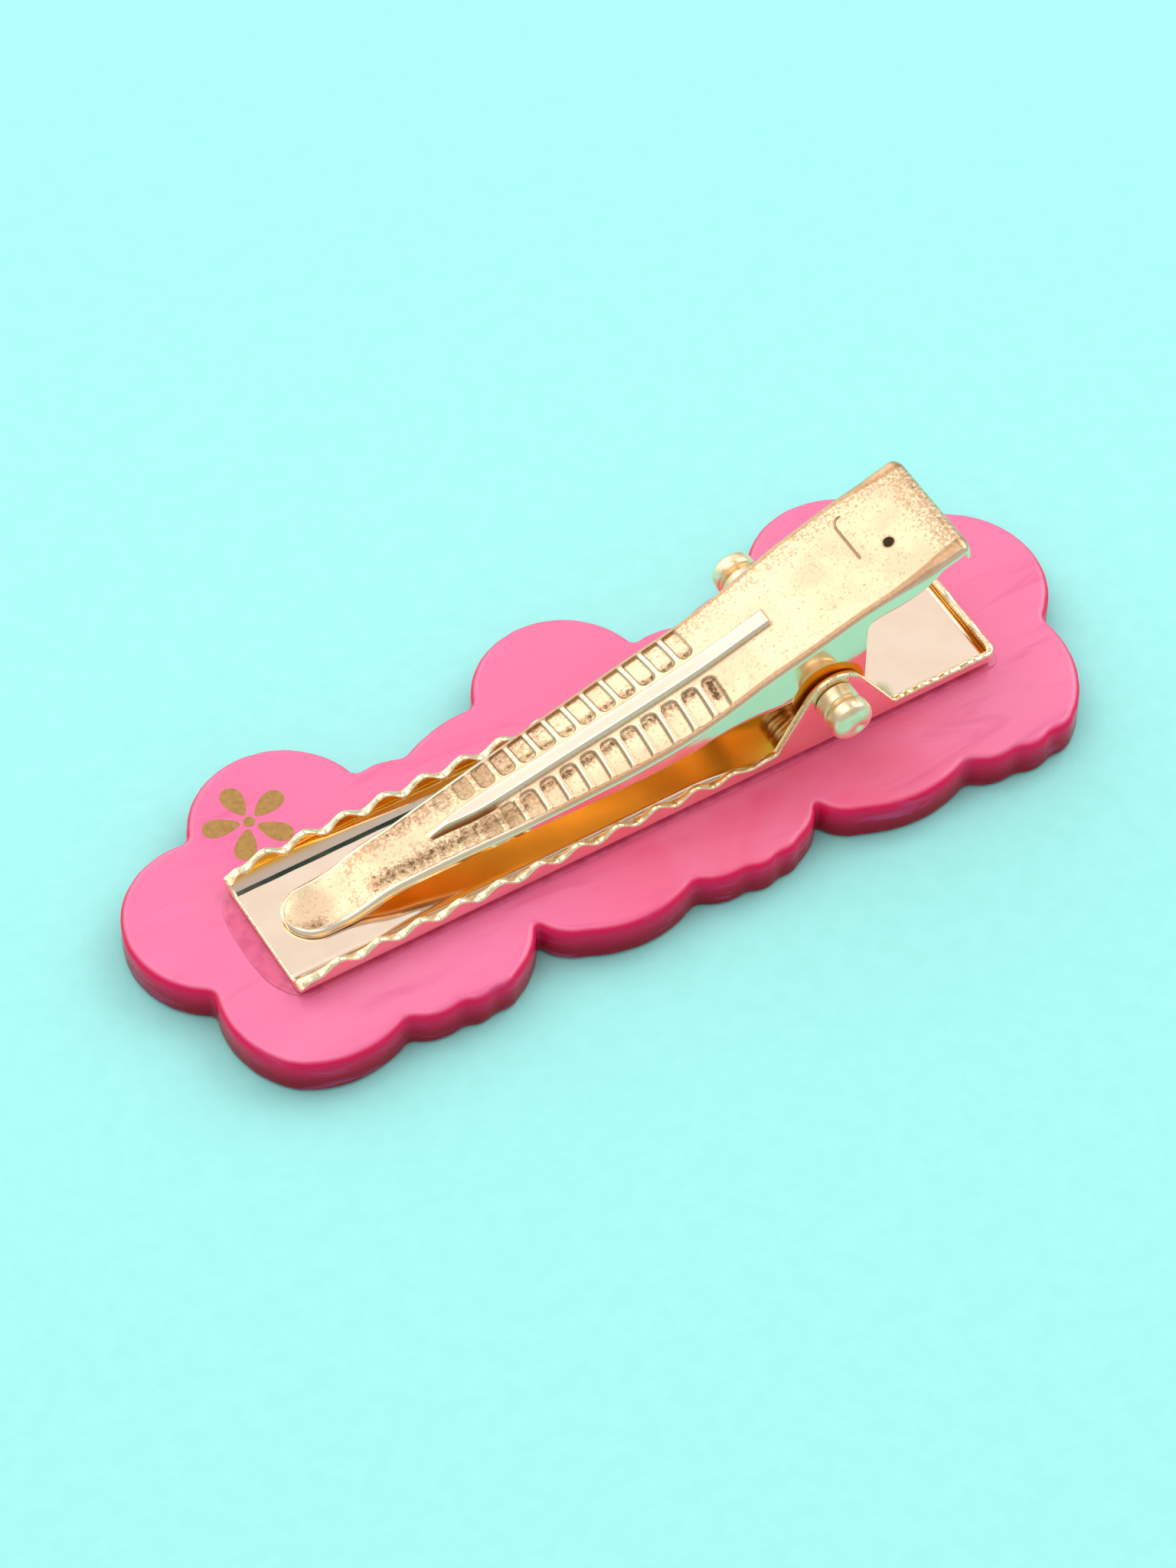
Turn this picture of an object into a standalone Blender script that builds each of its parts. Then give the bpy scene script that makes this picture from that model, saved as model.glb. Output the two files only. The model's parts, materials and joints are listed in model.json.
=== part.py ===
"""Alligator hair clip: a sprung single-prong clip glued to the back of a scalloped acetate plate.

The plate lies on its front face. The frame is metres with +Z up, the origin under the middle of the
plate's box, and +X running along the clip from the prong's nose to the handle.
"""

from math import asin, atan2, cos, hypot, pi, radians, sin, sqrt

import bmesh
import bpy
from mathutils import Vector

MM = 0.001

# Ornament plate.
PLATE_THICKNESS = 3.2 * MM
PLATE_RIM = 0.45 * MM
NOTCH_ROUNDING = 0.45 * MM
OUTLINE_STEP = 0.8 * MM

# The scalloped edge, anticlockwise from the left: each row is a notch (x, y) and how far the arc that
# leaves it towards the next notch bulges outwards, in millimetres from the clip's front edge.
SCALLOPS = (
    (-4.6, -1.8, 1.15), (-3.0, -9.6, 1.25), (5.4, -10.1, 0.55), (9.2, -10.9, 0.35),
    (11.5, -11.1, 0.25), (13.5, -10.8, 0.35), (16.5, -7.9, 0.45), (19.1, -10.3, 1.10),
    (27.5, -10.3, 0.45), (31.1, -11.2, 0.40), (33.5, -11.3, 0.25), (35.4, -11.0, 0.35),
    (37.9, -8.9, 0.45), (40.3, -11.1, 1.00), (48.8, -11.2, 0.50), (52.3, -12.1, 0.45),
    (55.1, -12.1, 0.35), (57.5, -11.5, 1.15), (60.2, -3.5, 4.40), (56.8, 9.1, 4.40),
    (44.5, 10.4, 0.35), (37.9, 9.1, 0.30), (34.5, 9.3, 4.90), (22.1, 10.2, 0.50),
    (15.9, 8.8, 0.35), (12.3, 9.3, 4.90), (-0.2, 10.1, 5.40),
)

# Glue film between plate and clip.
GLUE_THICKNESS = 0.16 * MM
GLUE_MARGIN = 0.7 * MM
GLUE_FRONT_MARGIN = 1.5 * MM
GLUE_CORNER = 2.4 * MM
GLUE_CORNER_STEPS = 6
FACE_GAP = 0.02 * MM

# Base channel, the clip's lower jaw, pressed from sheet.
SHEET = 0.5 * MM
BASE_LENGTH = 55.0 * MM
BASE_WIDTH = 10.8 * MM
BASE_BEND = 0.8 * MM
TOOTH_PITCH = 3.06 * MM
TOOTH_TROUGH = 1.30 * MM
TOOTH_HEIGHT = 0.75 * MM
TOOTH_STEPS = 8
TOOTH_FADE = (31.0 * MM, 36.0 * MM)
TOOTH_FADE_SHARE = 0.7
TOOTH_EAR_GAP = 0.9 * MM
FRONT_WALL = 0.85 * MM
REAR_WALL = 1.35 * MM
EAR_RADIUS = 2.45 * MM
EAR_CENTRE = (41.55 * MM, 4.55 * MM)
EAR_STEPS = 12
EAR_FRONT_FOOT = 36.9 * MM
EAR_REAR_FOOT = 46.5 * MM
EAR_FOOT_ROUNDING = 0.7 * MM
CUTTER_MARGIN = 1.0 * MM

# Hinge pin, riveted through both ears. Its axis runs along Y.
PIN_X = 41.4 * MM
PIN_Z = 5.0 * MM
PIN_RADIUS = 0.80 * MM
PIN_RUNNING_GAP = 0.06 * MM
PIN_COLLAR_RADIUS = 1.50 * MM
PIN_HEAD_RADIUS = 1.60 * MM
PIN_COLLAR_START = BASE_WIDTH / 2 + 0.05 * MM
PIN_COLLAR_END = 6.75 * MM
PIN_HEAD_FLARE = 0.15 * MM
PIN_DOME_START = PIN_COLLAR_END + 0.35 * MM
PIN_HALF_LENGTH = 8.3 * MM
PIN_STEPS = 24
HOLE_STEPS = 28

# Lever, the sprung prong with its handle. Rows are (distance from the base's front, value).
NOSE_X = 1.75 * MM
NOSE_RADIUS = 2.2 * MM
LEVER_BEND = 0.55 * MM
LEVER_TOP = (
    (1.0, 1.08), (5.2, 1.10), (6.5, 1.40), (8.5, 2.15), (11.0, 2.55), (14.0, 3.05), (19.0, 3.80),
    (25.0, 4.85), (28.0, 5.45), (31.0, 6.15), (34.0, 7.00), (37.0, 8.15), (40.0, 9.35),
    (43.0, 10.60), (46.0, 11.60), (49.0, 12.55), (53.0, 13.85),
)
LEVER_CROWN = (
    (13.0, 0.0), (17.0, 0.10), (20.0, 0.28), (24.0, 0.50), (28.0, 0.60), (32.0, 0.60), (36.0, 0.45),
    (40.0, 0.22), (44.0, 0.05), (47.0, 0.0),
)
LEVER_HALF_WIDTH = (
    (3.9, 2.20), (8.0, 2.30), (11.0, 2.45), (14.0, 2.75), (19.0, 3.30), (25.0, 3.85), (31.0, 4.20),
    (37.0, 4.38), (40.0, 4.55), (43.0, 4.70), (53.0, 4.72),
)
FLANGE_EDGE_FRONT = (
    (1.0, 0.56), (6.0, 0.60), (7.0, 0.85), (9.0, 1.60), (11.0, 1.95), (14.0, 2.35), (19.0, 3.00),
    (25.0, 3.75), (28.0, 4.10), (31.0, 4.65), (34.0, 5.20), (36.3, 5.30), (38.6, 5.10),
)
FLANGE_EDGE_REAR = (
    (44.3, 8.60), (44.5, 9.60), (45.0, 10.05), (47.2, 10.60), (48.9, 11.30), (50.1, 12.25), (51.5, 12.70),
)
LEVER_EAR_RADIUS = 2.9 * MM
LEVER_EAR_STEPS = 14
LEVER_STEP = 1.5 * MM
SKIRT = 0.03 * MM
HANDLE_TILT_START = 47.0 * MM
HANDLE_BEND_X = 51.7 * MM
HANDLE_BEND_RADIUS = 0.75 * MM
HANDLE_BEND_END = radians(-80.0)
HANDLE_BEND_STEPS = 7
HANDLE_LIP = 0.45 * MM
RIB_HEIGHT = 0.32 * MM
RIB_SPAN = (12.5 * MM, 39.4 * MM)
RIB_POINT = 3.0 * MM
RIB_REAR_SLOPE = 0.4 * MM
RIB_HALF_WIDTH = 0.62 * MM
RIB_SIDE_SLOPE = 0.2 * MM

# Torsion spring, wound round the pin between the lever's flanges.
WIRE_RADIUS = 0.35 * MM
COIL_RADIUS = 1.35 * MM
COIL_PITCH = 0.80 * MM
COIL_TURNS = 2
COIL_STEPS_PER_TURN = 16
UPPER_LEG_END = (44.9 * MM, 10.15 * MM)
LOWER_LEG_END = (44.6 * MM, 1.0 * MM)


def clear_scene():
    for obj in list(bpy.data.objects):
        bpy.data.objects.remove(obj, do_unlink=True)


def make_material(name, colour, metallic, roughness):
    material = bpy.data.materials.new(name)
    material.use_nodes = True
    shader = material.node_tree.nodes["Principled BSDF"]
    shader.inputs["Base Color"].default_value = (*colour, 1.0)
    shader.inputs["Metallic"].default_value = metallic
    shader.inputs["Roughness"].default_value = roughness
    return material


def add_object(name, data, material=None, parent=None, location=(0.0, 0.0, 0.0)):
    obj = bpy.data.objects.new(name, data)
    bpy.context.scene.collection.objects.link(obj)
    obj.location = location
    obj.parent = parent
    if material:
        data.materials.append(material)
    return obj


def add_empty(name, location, parent=None):
    return add_object(name, None, parent=parent, location=location)


def finish_mesh(bm, name, smooth_angle=35.0):
    bmesh.ops.recalc_face_normals(bm, faces=bm.faces)
    mesh = bpy.data.meshes.new(name)
    bm.to_mesh(mesh)
    bm.free()
    mesh.shade_smooth()
    mesh.set_sharp_from_angle(angle=radians(smooth_angle))
    return mesh


def curve_value(rows, x):
    """Value at x (metres) of the smooth curve through rows of (x, value) in millimetres."""
    points = [(row[0] * MM, row[1] * MM) for row in rows]
    if x <= points[0][0]:
        return points[0][1]
    if x >= points[-1][0]:
        return points[-1][1]
    slopes = []
    for i in range(len(points)):
        before = points[max(i - 1, 0)]
        after = points[min(i + 1, len(points) - 1)]
        slopes.append((after[1] - before[1]) / (after[0] - before[0]))
    i = max(k for k in range(len(points) - 1) if points[k][0] <= x)
    (x0, v0), (x1, v1) = points[i], points[i + 1]
    span = x1 - x0
    t = (x - x0) / span
    return (
        v0 * (2 * t**3 - 3 * t**2 + 1)
        + slopes[i] * span * (t**3 - 2 * t**2 + t)
        + v1 * (3 * t**2 - 2 * t**3)
        + slopes[i + 1] * span * (t**3 - t**2)
    )


def ramp(low, high, x):
    """0 before low, 1 after high, and an even ease between them."""
    t = min(max((x - low) / (high - low), 0.0), 1.0)
    return t * t * (3.0 - 2.0 * t)


def arc_points(start, end, bulge, step):
    """Points from start up to, but not including, end on an arc that bulges to the right."""
    (x0, y0), (x1, y1) = start, end
    chord = hypot(x1 - x0, y1 - y0)
    radius = (chord**2 / 4 + bulge**2) / (2 * bulge)
    half_angle = asin(min(chord / 2 / radius, 1.0))
    if bulge > radius:
        half_angle = pi - half_angle
    right = ((y1 - y0) / chord, -(x1 - x0) / chord)
    centre_x = (x0 + x1) / 2 - right[0] * (radius - bulge)
    centre_y = (y0 + y1) / 2 - right[1] * (radius - bulge)
    first = atan2(y0 - centre_y, x0 - centre_x)
    count = max(3, round(2 * half_angle * radius / step))
    angles = [first + 2 * half_angle * k / count for k in range(count)]
    return [(centre_x + radius * cos(a), centre_y + radius * sin(a)) for a in angles]


def distance(a, b):
    return hypot(a[0] - b[0], a[1] - b[1])


def round_corner(before, corner, after, reach):
    """Three points that take a corner off between two neighbours, reach away from it."""
    def towards(point):
        share = min(reach / distance(point, corner), 1.0)
        return (corner[0] + (point[0] - corner[0]) * share, corner[1] + (point[1] - corner[1]) * share)

    a = towards(before)
    b = towards(after)
    middle = ((a[0] + b[0] + 2 * corner[0]) / 4, (a[1] + b[1] + 2 * corner[1]) / 4)
    return [a, middle, b]


def plate_outline():
    """The plate's scalloped outline, in the clip's frame, with softened notches."""
    notches = [(x * MM, y * MM) for x, y, _ in SCALLOPS]
    arcs = []
    for i, (_, _, bulge) in enumerate(SCALLOPS):
        following = notches[(i + 1) % len(notches)]
        arcs.append(arc_points(notches[i], following, bulge * MM, OUTLINE_STEP))
    outline = []
    for i, arc in enumerate(arcs):
        outline += round_corner(arcs[i - 1][-1], arc[0], arc[1], NOTCH_ROUNDING)
        ends = (notches[i], notches[(i + 1) % len(notches)])
        for point in arc[1:]:
            if min(distance(point, end) for end in ends) > NOTCH_ROUNDING:
                outline.append(point)
    return outline


def outline_centre(outline):
    xs = [p[0] for p in outline]
    ys = [p[1] for p in outline]
    return ((min(xs) + max(xs)) / 2, (min(ys) + max(ys)) / 2)


def extruded(bm, outline, low, high):
    """Raise a flat outline in the XY plane into a prism and return its top and bottom rims."""
    face = bm.faces.new([bm.verts.new((x, y, low)) for x, y in outline])
    rim = list(face.edges)
    raised = bmesh.ops.extrude_face_region(bm, geom=[face])["geom"]
    bmesh.ops.translate(bm, verts=[v for v in raised if isinstance(v, bmesh.types.BMVert)],
                        vec=(0.0, 0.0, high - low))
    return rim + [e for e in raised if isinstance(e, bmesh.types.BMEdge)]


def build_plate(parent, material, outline):
    bm = bmesh.new()
    rims = extruded(bm, outline, 0.0, PLATE_THICKNESS)
    bmesh.ops.bevel(bm, geom=rims, offset=PLATE_RIM, segments=2, profile=0.5, affect="EDGES",
                    clamp_overlap=True)
    return add_object("ornament_plate", finish_mesh(bm, "ornament_plate", 50.0), material, parent)


def build_glue(parent, material):
    bm = bmesh.new()
    left = -GLUE_FRONT_MARGIN
    right = BASE_LENGTH + GLUE_MARGIN
    half = BASE_WIDTH / 2 + GLUE_MARGIN
    corners = ((left, -half), (right, -half), (right, half), (left, half))
    outline = []
    for i, (x, y) in enumerate(corners):
        centre = (x - GLUE_CORNER * (1 if x > 0 else -1), y - GLUE_CORNER * (1 if y > 0 else -1))
        first = (i - 2) * pi / 2
        for k in range(GLUE_CORNER_STEPS + 1):
            angle = first + k * pi / 2 / GLUE_CORNER_STEPS
            outline.append((centre[0] + GLUE_CORNER * cos(angle), centre[1] + GLUE_CORNER * sin(angle)))
    extruded(bm, outline, 0.0, GLUE_THICKNESS)
    return add_object("adhesive_pad", finish_mesh(bm, "adhesive_pad"), material, parent)


def base_block(name, inset, top):
    """A block whose lower long edges, lower rear edge and rear corners are bent round."""
    bm = bmesh.new()
    near = 0.001 * MM
    front = 0.0 if inset == 0.0 else -CUTTER_MARGIN
    rear = BASE_LENGTH - inset
    half = BASE_WIDTH / 2 - inset
    bend = BASE_BEND - inset
    extruded(bm, ((front, -half), (rear, -half), (rear, half), (front, half)), inset, top)
    bends = []
    for edge in bm.edges:
        middle = (edge.verts[0].co + edge.verts[1].co) / 2
        is_rear = abs(middle.x - rear) < near
        is_side = abs(abs(middle.y) - half) < near
        is_floor = abs(middle.z - inset) < near
        if (is_rear and is_side) or (is_floor and (is_rear or is_side)):
            bends.append(edge)
    bmesh.ops.bevel(bm, geom=bends, offset=bend, segments=3, profile=0.5, affect="EDGES")
    return finish_mesh(bm, name)


def tooth_edge(x):
    """Height of the side walls' wavy edge at a distance x from the front."""
    wave = 0.5 + 0.5 * cos(2 * pi * x / TOOTH_PITCH)
    fade = 1.0 - TOOTH_FADE_SHARE * ramp(*TOOTH_FADE, x)
    start = ramp(0.0, TOOTH_PITCH / 2, x)
    height = TOOTH_TROUGH + TOOTH_HEIGHT * wave * fade
    return FRONT_WALL + (height - FRONT_WALL) * start


def ear_tangent(foot, side):
    """Angle round the ear's arc where a straight edge from its foot meets it."""
    across = EAR_CENTRE[0] - foot[0]
    rise = EAR_CENTRE[1] - foot[1]
    return atan2(-rise, -across) - side * (pi / 2 - asin(EAR_RADIUS / hypot(across, rise)))


def ear_outline():
    """The ear's edge from its front foot, over the top, to its rear foot."""
    front = (EAR_FRONT_FOOT, TOOTH_TROUGH)
    rear = (EAR_REAR_FOOT, REAR_WALL)
    first = ear_tangent(front, 1) % (2 * pi)
    last = ear_tangent(rear, -1) % (2 * pi)
    if last > first:
        last -= 2 * pi
    angles = [first + (last - first) * k / EAR_STEPS for k in range(EAR_STEPS + 1)]
    arc = [(EAR_CENTRE[0] + EAR_RADIUS * cos(a), EAR_CENTRE[1] + EAR_RADIUS * sin(a)) for a in angles]
    ahead = (front[0] - CUTTER_MARGIN, front[1])
    behind = (rear[0] + CUTTER_MARGIN, rear[1])
    front_foot = round_corner(ahead, front, arc[0], EAR_FOOT_ROUNDING)
    rear_foot = round_corner(arc[-1], rear, behind, EAR_FOOT_ROUNDING)
    return front_foot + arc + rear_foot


def side_profile():
    """The base's side view: toothed front, ear, low rear wall."""
    before = -CUTTER_MARGIN
    beyond = BASE_LENGTH + CUTTER_MARGIN
    step = TOOTH_PITCH / TOOTH_STEPS
    count = int((EAR_FRONT_FOOT - TOOTH_EAR_GAP) / step)
    teeth = [(k * step, tooth_edge(k * step)) for k in range(count + 1)]
    top = [(before, FRONT_WALL)] + teeth + ear_outline() + [(beyond, REAR_WALL)]
    return [(beyond, -CUTTER_MARGIN), (before, -CUTTER_MARGIN)] + top


def prism_across(name, profile, half_width):
    """A cutter: a profile in the XZ plane extended to both sides of the centre line."""
    bm = bmesh.new()
    face = bm.faces.new([bm.verts.new((x, -half_width, z)) for x, z in profile])
    moved = bmesh.ops.extrude_face_region(bm, geom=[face])["geom"]
    bmesh.ops.translate(bm, verts=[v for v in moved if isinstance(v, bmesh.types.BMVert)],
                        vec=(0.0, 2 * half_width, 0.0))
    return finish_mesh(bm, name)


def circle_profile(centre, radius):
    angles = [2 * pi * k / HOLE_STEPS for k in range(HOLE_STEPS)]
    return [(centre[0] + radius * cos(a), centre[1] + radius * sin(a)) for a in angles]


def add_boolean(obj, cutter, operation):
    cutter.hide_render = True
    cutter.display_type = "WIRE"
    modifier = obj.modifiers.new(cutter.name, "BOOLEAN")
    modifier.operation = operation
    modifier.solver = "EXACT"
    modifier.object = cutter


def build_base(parent, material):
    tall = EAR_CENTRE[1] + EAR_RADIUS + CUTTER_MARGIN
    hole = circle_profile((PIN_X, PIN_Z), PIN_RADIUS + PIN_RUNNING_GAP)
    base = add_object("base_channel", base_block("base_channel", 0.0, tall), material, parent)
    cutters = (
        ("base_inside", base_block("base_inside", SHEET, tall + CUTTER_MARGIN), "DIFFERENCE"),
        ("base_side_view", prism_across("base_side_view", side_profile(), BASE_WIDTH), "INTERSECT"),
        ("base_pin_hole", prism_across("base_pin_hole", hole, BASE_WIDTH), "DIFFERENCE"),
    )
    for name, mesh, operation in cutters:
        add_boolean(base, add_object(name, mesh, parent=parent), operation)
    return base


def build_pin(parent, material):
    """A turned profile: shank, a collar against each ear and a domed head."""
    half = [
        (PIN_RADIUS, PIN_COLLAR_START),
        (PIN_COLLAR_RADIUS, PIN_COLLAR_START),
        (PIN_COLLAR_RADIUS, PIN_COLLAR_END),
        (PIN_HEAD_RADIUS, PIN_COLLAR_END + PIN_HEAD_FLARE),
    ]
    dome = PIN_HALF_LENGTH - PIN_DOME_START
    dome_steps = 5
    for k in range(dome_steps + 1):
        angle = k * pi / 2 / dome_steps
        half.append((PIN_HEAD_RADIUS * cos(angle), PIN_DOME_START + dome * sin(angle)))
    profile = [(r, -y) for r, y in reversed(half)] + half
    bm = bmesh.new()
    verts = [bm.verts.new((r, y, 0.0)) for r, y in profile]
    edges = [bm.edges.new(pair) for pair in zip(verts, verts[1:])]
    bmesh.ops.spin(bm, geom=verts + edges, axis=(0.0, 1.0, 0.0), cent=(0.0, 0.0, 0.0),
                   steps=PIN_STEPS, angle=2 * pi, use_merge=True)
    bmesh.ops.remove_doubles(bm, verts=bm.verts, dist=0.001 * MM)
    return add_object("hinge_pin", finish_mesh(bm, "hinge_pin", 40.0), material, parent)


def flange_edge(x):
    """Height of the lever's flange edge above the base's underside."""
    if x < FLANGE_EDGE_FRONT[-1][0] * MM:
        return curve_value(FLANGE_EDGE_FRONT, x)
    if x >= PIN_X + LEVER_EAR_RADIUS:
        return curve_value(FLANGE_EDGE_REAR, x)
    return PIN_Z - sqrt(LEVER_EAR_RADIUS**2 - (x - PIN_X)**2)


def channel_ring(half_width, depth, crown, rib_height):
    """One section of the lever: (y, drop below its top edge) round its closed outline."""
    wall = min(SHEET, 0.45 * half_width)
    bend = min(LEVER_BEND, 0.9 * half_width, depth - 0.02 * MM)
    rib = min(RIB_HALF_WIDTH, 0.35 * half_width)
    slope = min(RIB_SIDE_SLOPE, 0.1 * half_width)
    sharpest_turn = 0.04 * MM
    turn_steps = 3

    def skin(inset, y_edge, top):
        turn = min(max(bend - inset, sharpest_turn), 0.8 * (depth - top))
        flat = y_edge - turn

        def arch(y):
            return top - crown * (1.0 - (y / flat) ** 2)

        side = [(y_edge, depth)]
        for k in range(turn_steps + 1):
            angle = k * pi / 2 / turn_steps
            side.append((y_edge - turn * (1 - cos(angle)), top + turn * (1 - sin(angle))))
        middle = (flat + rib + slope) / 2
        side.append((middle, arch(middle)))
        side.append((rib + slope, arch(rib + slope)))
        side.append((rib, arch(rib) - rib_height))
        return side + [(-y, drop) for y, drop in reversed(side)]

    outer = skin(0.0, half_width, 0.0)
    inner = skin(wall, half_width - wall, SHEET)
    return outer + inner[::-1]


def lever_distances():
    """Distances from the base's front at which the lever has a section, between nose and bend."""
    distances = [NOSE_X + NOSE_RADIUS + LEVER_STEP * k for k in range(23)]
    for k in range(1, LEVER_EAR_STEPS):
        distances.append(PIN_X - LEVER_EAR_RADIUS * cos(pi * k / LEVER_EAR_STEPS))
    ear_rear = PIN_X + LEVER_EAR_RADIUS
    distances += [ear_rear + behind * MM for behind in (0.0, 0.06, 0.15, 0.35, 0.8)]
    distances += [distance * MM for distance in (46.4, 47.5, 48.9, 50.1, 51.0)]
    return sorted(distances)


def lever_stations():
    """Rows of (x, z of the top edge, tilt, half width, flange depth, crown, rib height)."""
    rows = []
    shallowest = SHEET + SKIRT
    for turn in (15, 35, 55, 75):
        angle = radians(turn)
        x = NOSE_X + NOSE_RADIUS * (1 - cos(angle))
        rows.append((x, curve_value(LEVER_TOP, x), 0.0, NOSE_RADIUS * sin(angle), shallowest, 0.0, 0.0))
    last_slope = atan2(
        curve_value(LEVER_TOP, HANDLE_BEND_X) - curve_value(LEVER_TOP, HANDLE_BEND_X - MM), MM)
    for x in lever_distances():
        top = curve_value(LEVER_TOP, x)
        depth = max(top - flange_edge(x), shallowest)
        rib = RIB_HEIGHT * ramp(RIB_SPAN[0], RIB_SPAN[0] + RIB_POINT, x)
        rib *= 1.0 - ramp(RIB_SPAN[1] - RIB_REAR_SLOPE, RIB_SPAN[1], x)
        tilt = last_slope * ramp(HANDLE_TILT_START, HANDLE_BEND_X, x)
        width = curve_value(LEVER_HALF_WIDTH, x)
        crown = curve_value(LEVER_CROWN, x)
        rows.append((x, top, tilt, width, depth, crown, rib))
    rows += handle_lip_stations(last_slope)
    return rows


def handle_lip_stations(start_slope):
    """The handle's rear edge, rolled down round a bend and ended in a short lip."""
    rows = []
    start_z = curve_value(LEVER_TOP, HANDLE_BEND_X)
    centre_x = HANDLE_BEND_X + HANDLE_BEND_RADIUS * sin(start_slope)
    centre_z = start_z - HANDLE_BEND_RADIUS * cos(start_slope)
    half = LEVER_HALF_WIDTH[-1][1] * MM
    depth = SHEET + 2 * SKIRT
    for k in range(HANDLE_BEND_STEPS + 1):
        slope = start_slope + (HANDLE_BEND_END - start_slope) * k / HANDLE_BEND_STEPS
        x = centre_x - HANDLE_BEND_RADIUS * sin(slope)
        z = centre_z + HANDLE_BEND_RADIUS * cos(slope)
        rows.append((x, z, slope, half, depth, 0.0, 0.0))
    x, z, slope = rows[-1][:3]
    rows.append((x + HANDLE_LIP * cos(slope), z + HANDLE_LIP * sin(slope), slope, half, depth, 0.0, 0.0))
    return rows


def build_lever(parent, material):
    """The prong and handle: channel sections lofted from the nose to the rolled rear edge."""
    bm = bmesh.new()
    rings = []
    for x, z, tilt, half_width, depth, crown, rib in lever_stations():
        down = Vector((sin(tilt), 0.0, -cos(tilt)))
        origin = Vector((x - PIN_X, 0.0, z - PIN_Z))
        ring = [bm.verts.new(origin + down * drop + Vector((0.0, y, 0.0)))
                for y, drop in channel_ring(half_width, depth, crown, rib)]
        rings.append(ring)
    for ring, following in zip(rings, rings[1:]):
        for k in range(len(ring)):
            after = (k + 1) % len(ring)
            bm.faces.new((ring[k], ring[after], following[after], following[k]))
    for ring in (rings[0], rings[-1]):
        for k in range(len(ring) // 2 - 1):
            bm.faces.new((ring[k], ring[k + 1], ring[-k - 2], ring[-k - 1]))
    lever = add_object("lever", finish_mesh(bm, "lever"), material, parent)
    hole = prism_across("lever_pin_hole", circle_profile((0.0, 0.0), PIN_RADIUS + PIN_RUNNING_GAP),
                        BASE_WIDTH)
    add_boolean(lever, add_object("lever_pin_hole", hole, parent=parent), "DIFFERENCE")
    return lever


def leg_contact(end, side):
    """Angle round the coil at which a straight leg leaves it for its end point."""
    across = end[0] - PIN_X
    rise = end[1] - PIN_Z
    direction = atan2(rise, across) - side * asin(COIL_RADIUS / hypot(across, rise))
    return direction + side * pi / 2


def spring_points():
    """The wire's centre line: upper leg, coil round the pin, lower leg."""
    first = leg_contact(UPPER_LEG_END, 1)
    last = leg_contact(LOWER_LEG_END, -1) + 2 * pi
    turning = last - first + 2 * pi * COIL_TURNS
    length = turning / (2 * pi) * COIL_PITCH
    count = round(turning / (2 * pi) * COIL_STEPS_PER_TURN)
    points = [(UPPER_LEG_END[0] - PIN_X, length / 2, UPPER_LEG_END[1] - PIN_Z)]
    for k in range(count + 1):
        angle = first + turning * k / count
        points.append((COIL_RADIUS * cos(angle), length / 2 - length * k / count, COIL_RADIUS * sin(angle)))
    points.append((LOWER_LEG_END[0] - PIN_X, -length / 2, LOWER_LEG_END[1] - PIN_Z))
    return points


def build_spring(parent, material):
    curve = bpy.data.curves.new("torsion_spring", "CURVE")
    curve.dimensions = "3D"
    curve.bevel_depth = WIRE_RADIUS
    curve.bevel_resolution = 2
    curve.use_fill_caps = True
    spline = curve.splines.new("POLY")
    points = spring_points()
    spline.points.add(len(points) - 1)
    for target, point in zip(spline.points, points):
        target.co = (*point, 1.0)
    return add_object("torsion_spring", curve, material, parent)


def build():
    clear_scene()
    gold = make_material("gold_plated_steel", (0.93, 0.70, 0.40), 1.0, 0.22)
    worn_gold = make_material("brushed_gold_plate", (0.90, 0.71, 0.50), 1.0, 0.38)
    acetate = make_material("pink_acetate", (0.93, 0.24, 0.42), 0.0, 0.25)
    glue = make_material("clear_glue", (0.90, 0.62, 0.68), 0.0, 0.15)
    spring_steel = make_material("spring_steel", (0.62, 0.60, 0.57), 1.0, 0.30)

    outline = plate_outline()
    middle_x, middle_y = outline_centre(outline)
    plate_z = PLATE_THICKNESS
    clip_z = plate_z + GLUE_THICKNESS + 2 * FACE_GAP
    plate_frame = add_empty("plate_frame", (-middle_x, -middle_y, 0.0))
    clip_frame = add_empty("clip_frame", (-middle_x, -middle_y, clip_z))
    glue_frame = add_empty("glue_frame", (-middle_x, -middle_y, plate_z + FACE_GAP))
    hinge_axis = add_empty("hinge_axis", (PIN_X, 0.0, PIN_Z), clip_frame)

    build_plate(plate_frame, acetate, outline)
    build_glue(glue_frame, glue)
    build_base(clip_frame, gold)
    build_pin(hinge_axis, gold)
    build_lever(hinge_axis, worn_gold)
    build_spring(hinge_axis, spring_steel)


build()
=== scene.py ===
import json
from math import asin, atan2, cos, hypot, pi, radians, sin, sqrt

import bmesh
import bpy
import numpy as np
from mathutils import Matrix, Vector, noise

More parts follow.
